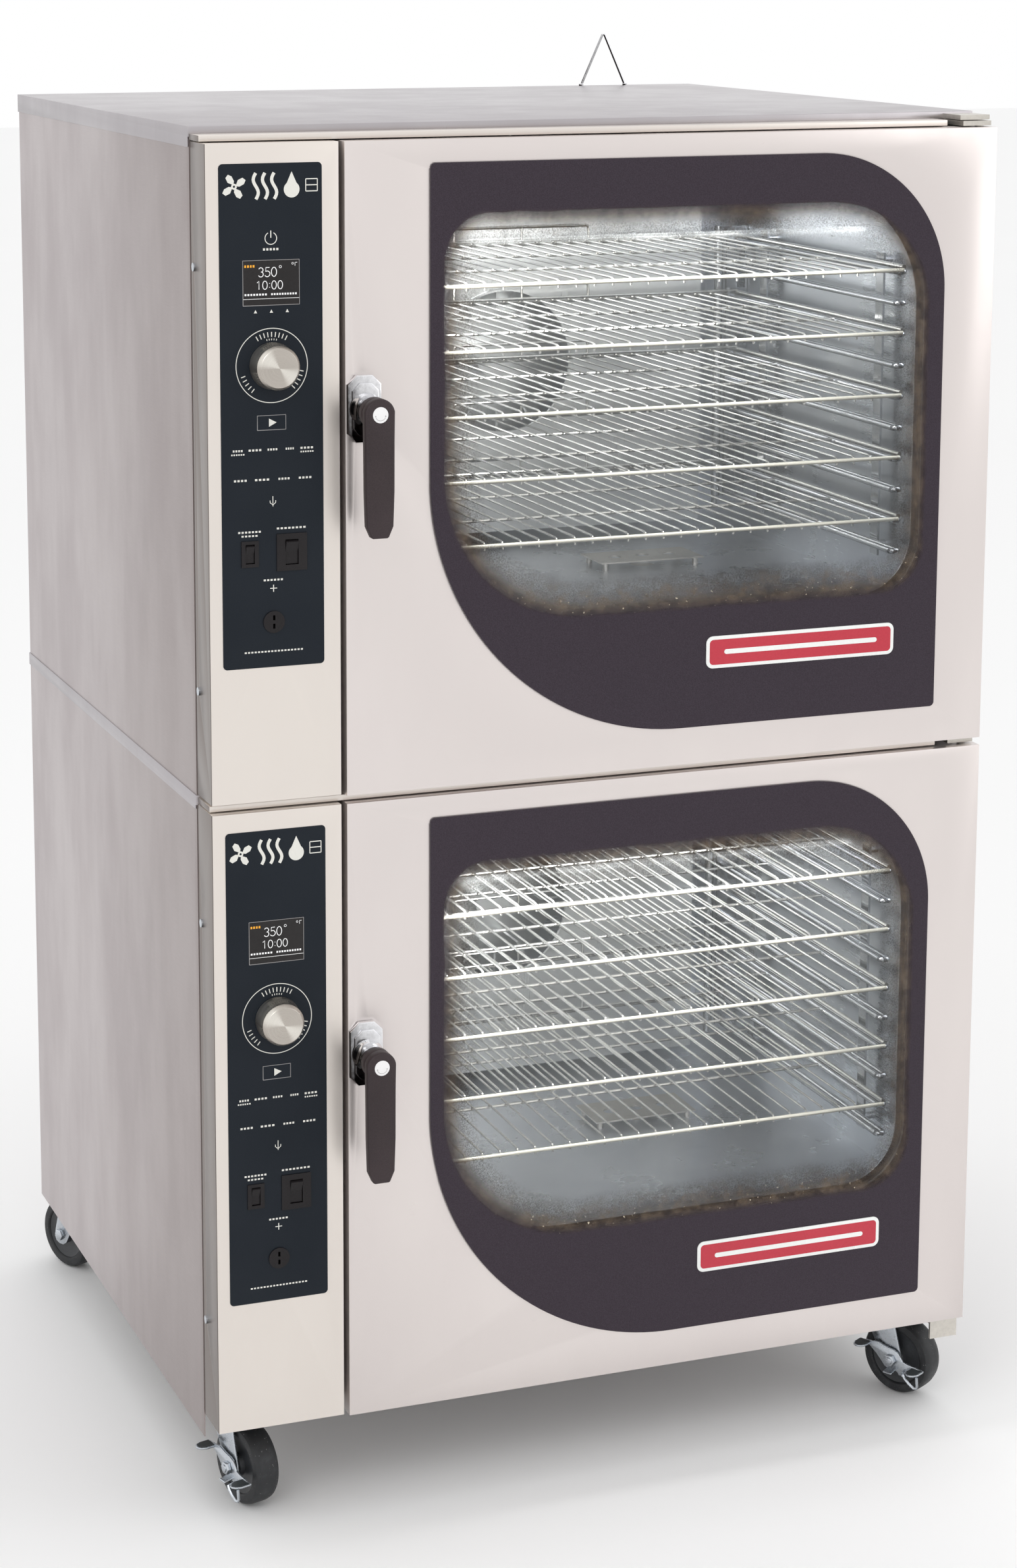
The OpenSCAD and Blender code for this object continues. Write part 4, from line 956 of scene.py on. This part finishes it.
def makeHandle(unit):
    front = handle["front"]
    outline = fromHub(arc((0, 0), handle["topRadius"], 10, 170, 28) + handle["lever"])
    lever = outlineSheet("lever", onPlane(unit, front, outline), (0, handle["levelBack"] - front, 0))
    bevelled(lever, 0.0024, 3, 50)
    centre = spot(unit, handle["x"], handle["headBack"], handle["z"])
    hub = lathe("hub", handle["hub"], centre, (0, -1, 0), 56)
    piece = joined(unit + "HandleMoulding", [hub, lever])
    dress(smooth(piece, 32), "handle", unit + "_handle", "handle_plastic", unit + "_door_handle")
    face = spot(unit, handle["x"], front, handle["z"])
    disc = lathe(unit + "HandleDisc", handle["disc"], face, (0, -1, 0), 48)
    dress(disc, "disc", unit + "_handle", "surround_enamel")
    inkFace = front - handle["disc"][-1][1]
    marks = [inkLine(unit, fromHub(arc((0, 0), handle["markRadius"], 205, 335, 16)), 0.5, inkFace)]
    for side in (-1, 1):
        marks.append(inkShape(unit, fromHub([(side * x, z) for x, z in handle["tip"]]), inkFace))
    dress(joined(unit + "HandleMark", marks), "greyPrint", unit + "_handle", "surround_enamel")


def octagon(half, corner):
    w, h = half
    return [(corner - w, -h), (w - corner, -h), (w, corner - h), (w, h - corner), (w - corner, h),
            (corner - w, h), (-w, h - corner), (-w, corner - h)]


def makeHandleBase(unit):
    front, bossFront = seat["front"], seat["bossFront"]
    outline = onPlane(unit, front, fromHub(octagon(seat["plate"], seat["plateCorner"])))
    plate = outlineSheet("basePlate", outline, (0, seat["back"] - front, 0))
    bevelled(plate, 0.0022, 2, 50)
    outline = onPlane(unit, bossFront, fromHub(octagon(seat["boss"], seat["bossCorner"])))
    boss = outlineSheet("baseBoss", outline, (0, front - bossFront + seat["sunk"], 0))
    bevelled(boss, 0.0016, 2, 50)
    centre = spot(unit, handle["x"], bossFront + 0.2, handle["z"])
    cone = lathe("baseNeck", seat["neck"], centre, (0, -1, 0), 48)
    piece = joined(unit + "HandleSeat", [plate, boss, cone])
    dress(smooth(piece, 28), "chrome", unit + "_door", "hardware_steel", unit + "_handle_base")


for unit in units:
    makeHandle(unit)
    makeHandleBase(unit)
print("handles ready")


# ---- racks ----

# Wires are named by their radius, and each Lift is a height over the rack's own level
rack = {
    "x": (291, 951), "front": 30, "depth": 500, "levels": (270, 350, 430, 510, 590), "pitch": 24, "count": 12,
    "wire": 1.5, "wireLift": 5.9, "rail": 2.6, "railLift": 2.4, "side": 3.0, "sideLift": 6.4, "cross": 2.2,
    "sunk": 0.8, "railGap": 3, "crossGap": 15, "rearCross": 6, "topCross": 14,
    "bend": [(4.2, -3.6), (4.2, 0.6), (4.9, 3.6), (7.2, 5.3), (11, 5.9)],
    "stopHalf": 99, "stopHeight": 20, "stop": 2.1, "post": 1.8,
}


def makeRack():
    x0, x1 = rack["x"]
    front, back = rack["front"], rack["front"] + rack["depth"]
    middle = (x0 + x1) / 2
    base = rack["levels"][0]

    def bar(name, points, radius, rings=2):
        return wireAlong(name, [spot("lower", x, y, base + z) for x, y, z in points], radius, rings)

    ends = (x0 + rack["railGap"], x1 - rack["railGap"])
    rail = bar("frontRail", [(x, front, rack["railLift"]) for x in ends], rack["rail"], 3)
    wires = []
    for x in (x0 + rack["side"], x1 - rack["side"]):
        wires.append(bar("sideWire", [(x, y, rack["sideLift"]) for y in (front, back)], rack["side"], 3))
    low = rack["wireLift"] - rack["wire"] - rack["cross"] + rack["sunk"]
    inner = (x0 + rack["crossGap"], x1 - rack["crossGap"])
    for y in (front + rack["depth"] / 3, front + rack["depth"] * 2 / 3, back - rack["rearCross"]):
        wires.append(bar("crossWire", [(x, y, low) for x in inner], rack["cross"]))
    top = rack["wireLift"] + rack["wire"] + rack["cross"] - rack["sunk"]
    rear = back - rack["topCross"]
    wires.append(bar("crossWire", [(x, rear, top) for x in ends], rack["cross"]))
    for i in range(-rack["count"], rack["count"] + 1):
        x = middle + i * rack["pitch"]
        points = [(x, front + y, z) for y, z in rack["bend"]] + [(x, back - 3, rack["wireLift"])]
        wires.append(bar("longWire", points, rack["wire"], 1))
    stop = rack["stopHalf"]
    high = rack["wireLift"] + rack["wire"] + rack["stopHeight"]
    path = [(-stop, top), (-stop, high - 4), (1.2 - stop, high - 1.2), (4 - stop, high), (stop - 4, high),
            (stop - 1.2, high - 1.2), (stop, high - 4), (stop, top)]
    wires.append(bar("backStop", [(middle + x, rear, z) for x, z in path], rack["stop"]))
    wires.append(bar("stopPost", [(middle, rear, z) for z in (top, high)], rack["post"]))
    setPaint(rail, "rail")
    for wire in wires:
        setPaint(wire, "rack")
    return smooth(joined("rackGrid", [rail] + wires), 40)


def placeRacks():
    first = makeRack()
    for unit in units:
        for number, level in enumerate(rack["levels"], 1):
            grid = first.copy()
            grid.data = first.data.copy()
            bpy.context.scene.collection.objects.link(grid)
            grid.name = unit + "RackGrid" + str(number)
            grid.data.name = grid.name
            lift = (level - rack["levels"][0]) * mm
            grid.location = (0, 0, doorLow[unit].z - doorLow["lower"].z + lift)
            settle(grid)
            node = unit + "_rack_" + str(number)
            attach(grid, node + "_body")
            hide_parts(node)
    bpy.data.objects.remove(first)


placeRacks()
print("racks ready")


# ---- guide noses ----

guides = {
    "rods": (20, 30), "walls": ((270, 1), (972, -1)), "start": 39, "lowest": 230, "pitch": 40, "levels": 10,
    "radius": 3.96,
}


def makeGuideNoses(unit):
    noses = []
    inner, outer = guides["rods"]
    for wall, way in guides["walls"]:
        middle = wall + way * (inner + outer) / 2
        loop = arc((middle, guides["start"]), (outer - inner) / 2, 180, 360, 8)
        for level in range(guides["levels"]):
            z = guides["lowest"] + level * guides["pitch"]
            noses.append(wireAlong("nose", [spot(unit, x, y, z) for x, y in loop], guides["radius"]))
    dress(smooth(joined(unit + "GuideNoses", noses), 50), "guide", "root", "rack_wire")


for unit in units:
    makeGuideNoses(unit)
print("guides ready")


# ---- casters ----

corners = ("front_left", "front_right", "rear_left", "rear_right")
# Profiles of half a section: (radius, distance along the axle)
wheel = {
    "tread": [(38.5, -16.6), (43.5, -17), (47.2, -16.2), (49.4, -13.8), (50.6, -9), (50.8, -4), (50.8, 4),
              (50.6, 9), (49.4, 13.8), (47.2, 16.2), (43.5, 17), (38.5, 16.6), (37.0, 15.4), (36.2, 13.4),
              (36.2, -13.4), (37.0, -15.4), (38.5, -16.6)],
    "hub": [(5.1, -18.6), (12.4, -18.6), (13.2, -17.9), (14.6, -12.6), (22, -11.4), (33, -12.4),
            (36.3, -13.6), (36.3, 13.6), (33, 12.4), (22, 11.4), (14.6, 12.6), (13.2, 17.9), (12.4, 18.6),
            (5.1, 18.6), (5.1, -18.6)],
}
# Outlines are (y', z) from the axle
fork = {
    "cheek": [(-14.5, -6), (-11, -12.5), (-4, -15.2), (5, -14.8), (12.5, -10), (17, -2), (36, 32), (48, 50),
              (55, 60), (56, 68), (52, 70.4), (10, 70.4), (4.5, 67), (0, 52), (-7, 26), (-12.5, 6)],
    "crown": [(6.3, 60.4), (14, 60.4), (20, 61.6), (29, 63.2), (33, 66.4), (33.2, 70.2), (31.5, 72.6),
              (6.3, 72.6), (6.3, 60.4)],
    "inner": 20, "thick": 3, "trail": 0.032, "bolt": 4.9, "boltLength": 60, "boltMiddle": -5.5,
    "nut": (-31.2, 8.4, 5.6), "boltHead": (25.4, 8.4, 4.8),
}
pedal = {
    "plate": [(50, 16.6), (40, 17.2), (31, 18.6), (20, 19.6), (12, 17.2), (4, 15.6), (-4, 14.6),
              (-11, 11.4), (-15, 6), (-18, 1.6), (-26, -0.4), (-36, -1.2), (-49, -3.2), (-49.5, -5.6),
              (-40, -6.0), (-31, -8.4), (-24, -12.4), (-19, -17.4), (-13, -19.2), (-10.6, -15.4),
              (-6, -13.4), (2, -14.4), (10, -11.4), (16, -4.6), (24, 3.4), (33, 10.6), (41, 13.4), (50, 14.2)],
    "outer": -28, "thick": 3, "wire": 1.9, "film": 0.4,
    "loop": [(-47.5, -31, -6), (-47.8, -34, -10), (-47.6, -40, -15.4), (-46.5, -47, -20.6),
             (-45.5, -50.5, -20.4), (-45, -51.5, -17), (-45.5, -50.6, -5.4)],
    "stay": [(-27, -19, -13), (-36, -23, -10.5), (-46, -30, -8)],
    "shelf": [(-27, 6, -14.6), (-38, 6, -16.6), (-38, -7, -16.6), (-27, -7, -14.6)], "shelfThick": 2,
    # Outline of a foot pad: x', and how far along the pad
    "pad": [(-25.2, 0.12), (-27, 0.0), (-40, 0.0), (-46.5, 0.14), (-49.5, 0.38), (-49.5, 0.62),
            (-46.5, 0.86), (-40, 1.0), (-27, 1.0), (-25.2, 0.88)],
    # Start and end along y', height at each and thickness, then the same of the dark film on top
    "pads": ((31, 50, 14.2, 14.4, 2.6), (-50, -31, -5.8, -5.8, 2.6)),
    "tops": ((33, 48.5, 17.0), (-48.5, -33, -3.1)),
}


# Places something modelled round an axle at the origin onto a caster: x' along the axle, y'
# towards the swivel
def casterMatrix(corner):
    joint = joints[corner + "_wheel_roll"]
    axis = Vector(joint["axis"]).normalized()
    across = Vector((0, 0, 1)).cross(axis)
    turn = Matrix((axis, across, Vector((0, 0, 1)))).transposed().to_4x4()
    return Matrix.Translation(Vector(joint["pos_m"])) @ turn


def moved(piece, corner):
    piece.matrix_world = casterMatrix(corner)
    return settle(piece)


def metres(points):
    return [Vector(point) * mm for point in points]


# Outline in (y', z), pushed along x' from start by thick (mm)
def sideSheet(name, outline, start, thick):
    return outlineSheet(name, metres([(start, y, z) for y, z in outline]), (thick, 0, 0))


def axleBar(name, middle, radius, length, sides, edge):
    letGo()
    bpy.ops.mesh.primitive_cylinder_add(vertices=sides, radius=radius * mm, depth=length * mm,
                                        location=(middle * mm, 0, 0), rotation=(0, math.pi / 2, 0))
    return bevelled(settle(named(name)), edge)


def makeWheel(corner):
    tread = lathe(corner + "Tread", wheel["tread"], (0, 0, 0), (1, 0, 0), 64)
    hub = lathe(corner + "Hub", wheel["hub"], (0, 0, 0), (1, 0, 0), 48)
    dress(moved(tread, corner), "tread", corner + "_wheel_body", "wheel_rubber", corner + "_wheel")
    dress(moved(hub, corner), "hub", corner + "_wheel_body", "wheel_rubber")


def makeFork(corner):
    parts = []
    for start in (-fork["inner"] - fork["thick"], fork["inner"]):
        cheek = sideSheet("cheek", fork["cheek"], start, fork["thick"])
        parts.append(bevelled(cheek, 0.0009, 2, 50))
    parts.append(lathe("crown", fork["crown"], (0, fork["trail"], 0), (0, 0, 1), 48))
    parts.append(axleBar("bolt", fork["boltMiddle"], fork["bolt"], fork["boltLength"], 24, 0.0008))
    for name in ("nut", "boltHead"):
        parts.append(axleBar(name, *fork[name], 6, 0.0007))
    piece = moved(joined(corner + "ForkStamping", parts), corner)
    dress(smooth(piece, 32), "zinc", corner + "_swivel", "caster_zinc", corner + "_fork")


def footPad(y0, y1, low, high, thick):
    points = [(x, y0 + (y1 - y0) * f, low + (high - low) * f) for x, f in pedal["pad"]]
    return bevelled(outlineSheet("pad", metres(points), (0, 0, thick)), 0.0007, 2, 50)


def padTop(y0, y1, z):
    outline = [(-27.5, y0), (-40, y0), (-46, y0 + 3), (-48, (y0 + y1) / 2), (-46, y1 - 3), (-40, y1),
               (-27.5, y1)]
    return outlineSheet("padTop", metres([(x, y, z) for x, y in outline]), (0, 0, pedal["film"]))


def makePedal(corner):
    body = corner + "_pedal_body"
    plate = sideSheet("pedalPlate", pedal["plate"], pedal["outer"], pedal["thick"])
    parts = [bevelled(plate, 0.0008, 2, 50)]
    for name in ("loop", "stay"):
        parts.append(wireAlong(name, metres(pedal[name]), pedal["wire"]))
    shelf = outlineSheet("shelf", metres(pedal["shelf"]), (0, 0, pedal["shelfThick"]))
    parts.append(bevelled(shelf, 0.0005, 1, 50))
    parts += [footPad(*pad) for pad in pedal["pads"]]
    piece = moved(joined(corner + "PedalStamping", parts), corner)
    dress(smooth(piece, 32), "zinc", body, "caster_zinc", corner + "_brake_pedal")
    tops = moved(joined(corner + "PedalPads", [padTop(*top) for top in pedal["tops"]]), corner)
    dress(tops, "padTop", body, "caster_zinc")


for corner in corners:
    makeWheel(corner)
    makeFork(corner)
    if corner.startswith("front"):
        makePedal(corner)
print("casters ready")


# ---- roof wire, painted shadow strips and rails ----

stand = {
    "x": 881, "y": 846, "half": 35, "wire": 1.8,
    "path": [(-35, 0.5), (-33.6, 3.5), (-1.8, 73.6), (0, 75), (1.8, 73.6), (33.6, 3.5), (35, 0.5)],
    "foot": [(0, 0), (3.5, 0), (3.5, 2), (2.6, 3), (0, 3)],
}


def makeStand():
    top = cabinetHigh.z / mm - doorLow["upper"].z / mm
    path = [spot("upper", stand["x"] + x, stand["y"], top + z) for x, z in stand["path"]]
    parts = [wireAlong("roofStand", path, stand["wire"], 3)]
    for side in (-1, 1):
        foot = spot("upper", stand["x"] + side * stand["half"], stand["y"], top)
        parts.append(lathe("foot", stand["foot"], foot, (0, 0, 1), 20))
    dress(smooth(joined("roofStand", parts), 40), "chrome", "root", "rack_wire", "roof_wire")


# Low and high corners: dark strips of painted shadow in the gaps behind each door and panel, and pale steel
# rails above and below the upper oven
seams = (((162.6, -14, 3), (168.4, -2, 774)), ((3.2, -0.95, 3), (160, -0.05, 774)))
rails = (((2, -50, -8.6), (966, -2, -1.4)), ((1, -40, 777.4), (966, -1, 784.6)))


def makeShadowStrips(unit):
    parts = [block("seam", unit, low, high) for low, high in seams]
    dress(joined(unit + "GapShadows", parts), "seam", "root", "gasket_rubber")


def makeRails():
    strip = joined("stackRail", [block("rail", "upper", low, high) for low, high in rails])
    dress(smooth(bevelled(strip, 0.0008, 2, 50)), "panel", "root", "brushed_stainless")


makeStand()
for unit in units:
    makeShadowStrips(unit)
makeRails()
print("details ready")


# ---- floor ----

ground = {"size": 60, "drop": 0.0005, "light": (0.93, 0.93, 0.93), "dark": (0.90, 0.90, 0.90)}


def makeFloor():
    letGo()
    bpy.ops.mesh.primitive_plane_add(size=ground["size"], location=(0, 0, -ground["drop"]))
    floor = named("studioFloor")
    paint = Paint("paleFloor")
    tone = paint.ramp(paint.noise(paint.coords(), 0.8, 2.0), 0.3, 0.7) * 0.15
    shade = paint.mixColour(tone, rgb(*ground["light"]), rgb(*ground["dark"]))
    floor.data.materials.append(paint.finish({"Base Color": shade, "Roughness": 0.7}))


makeFloor()
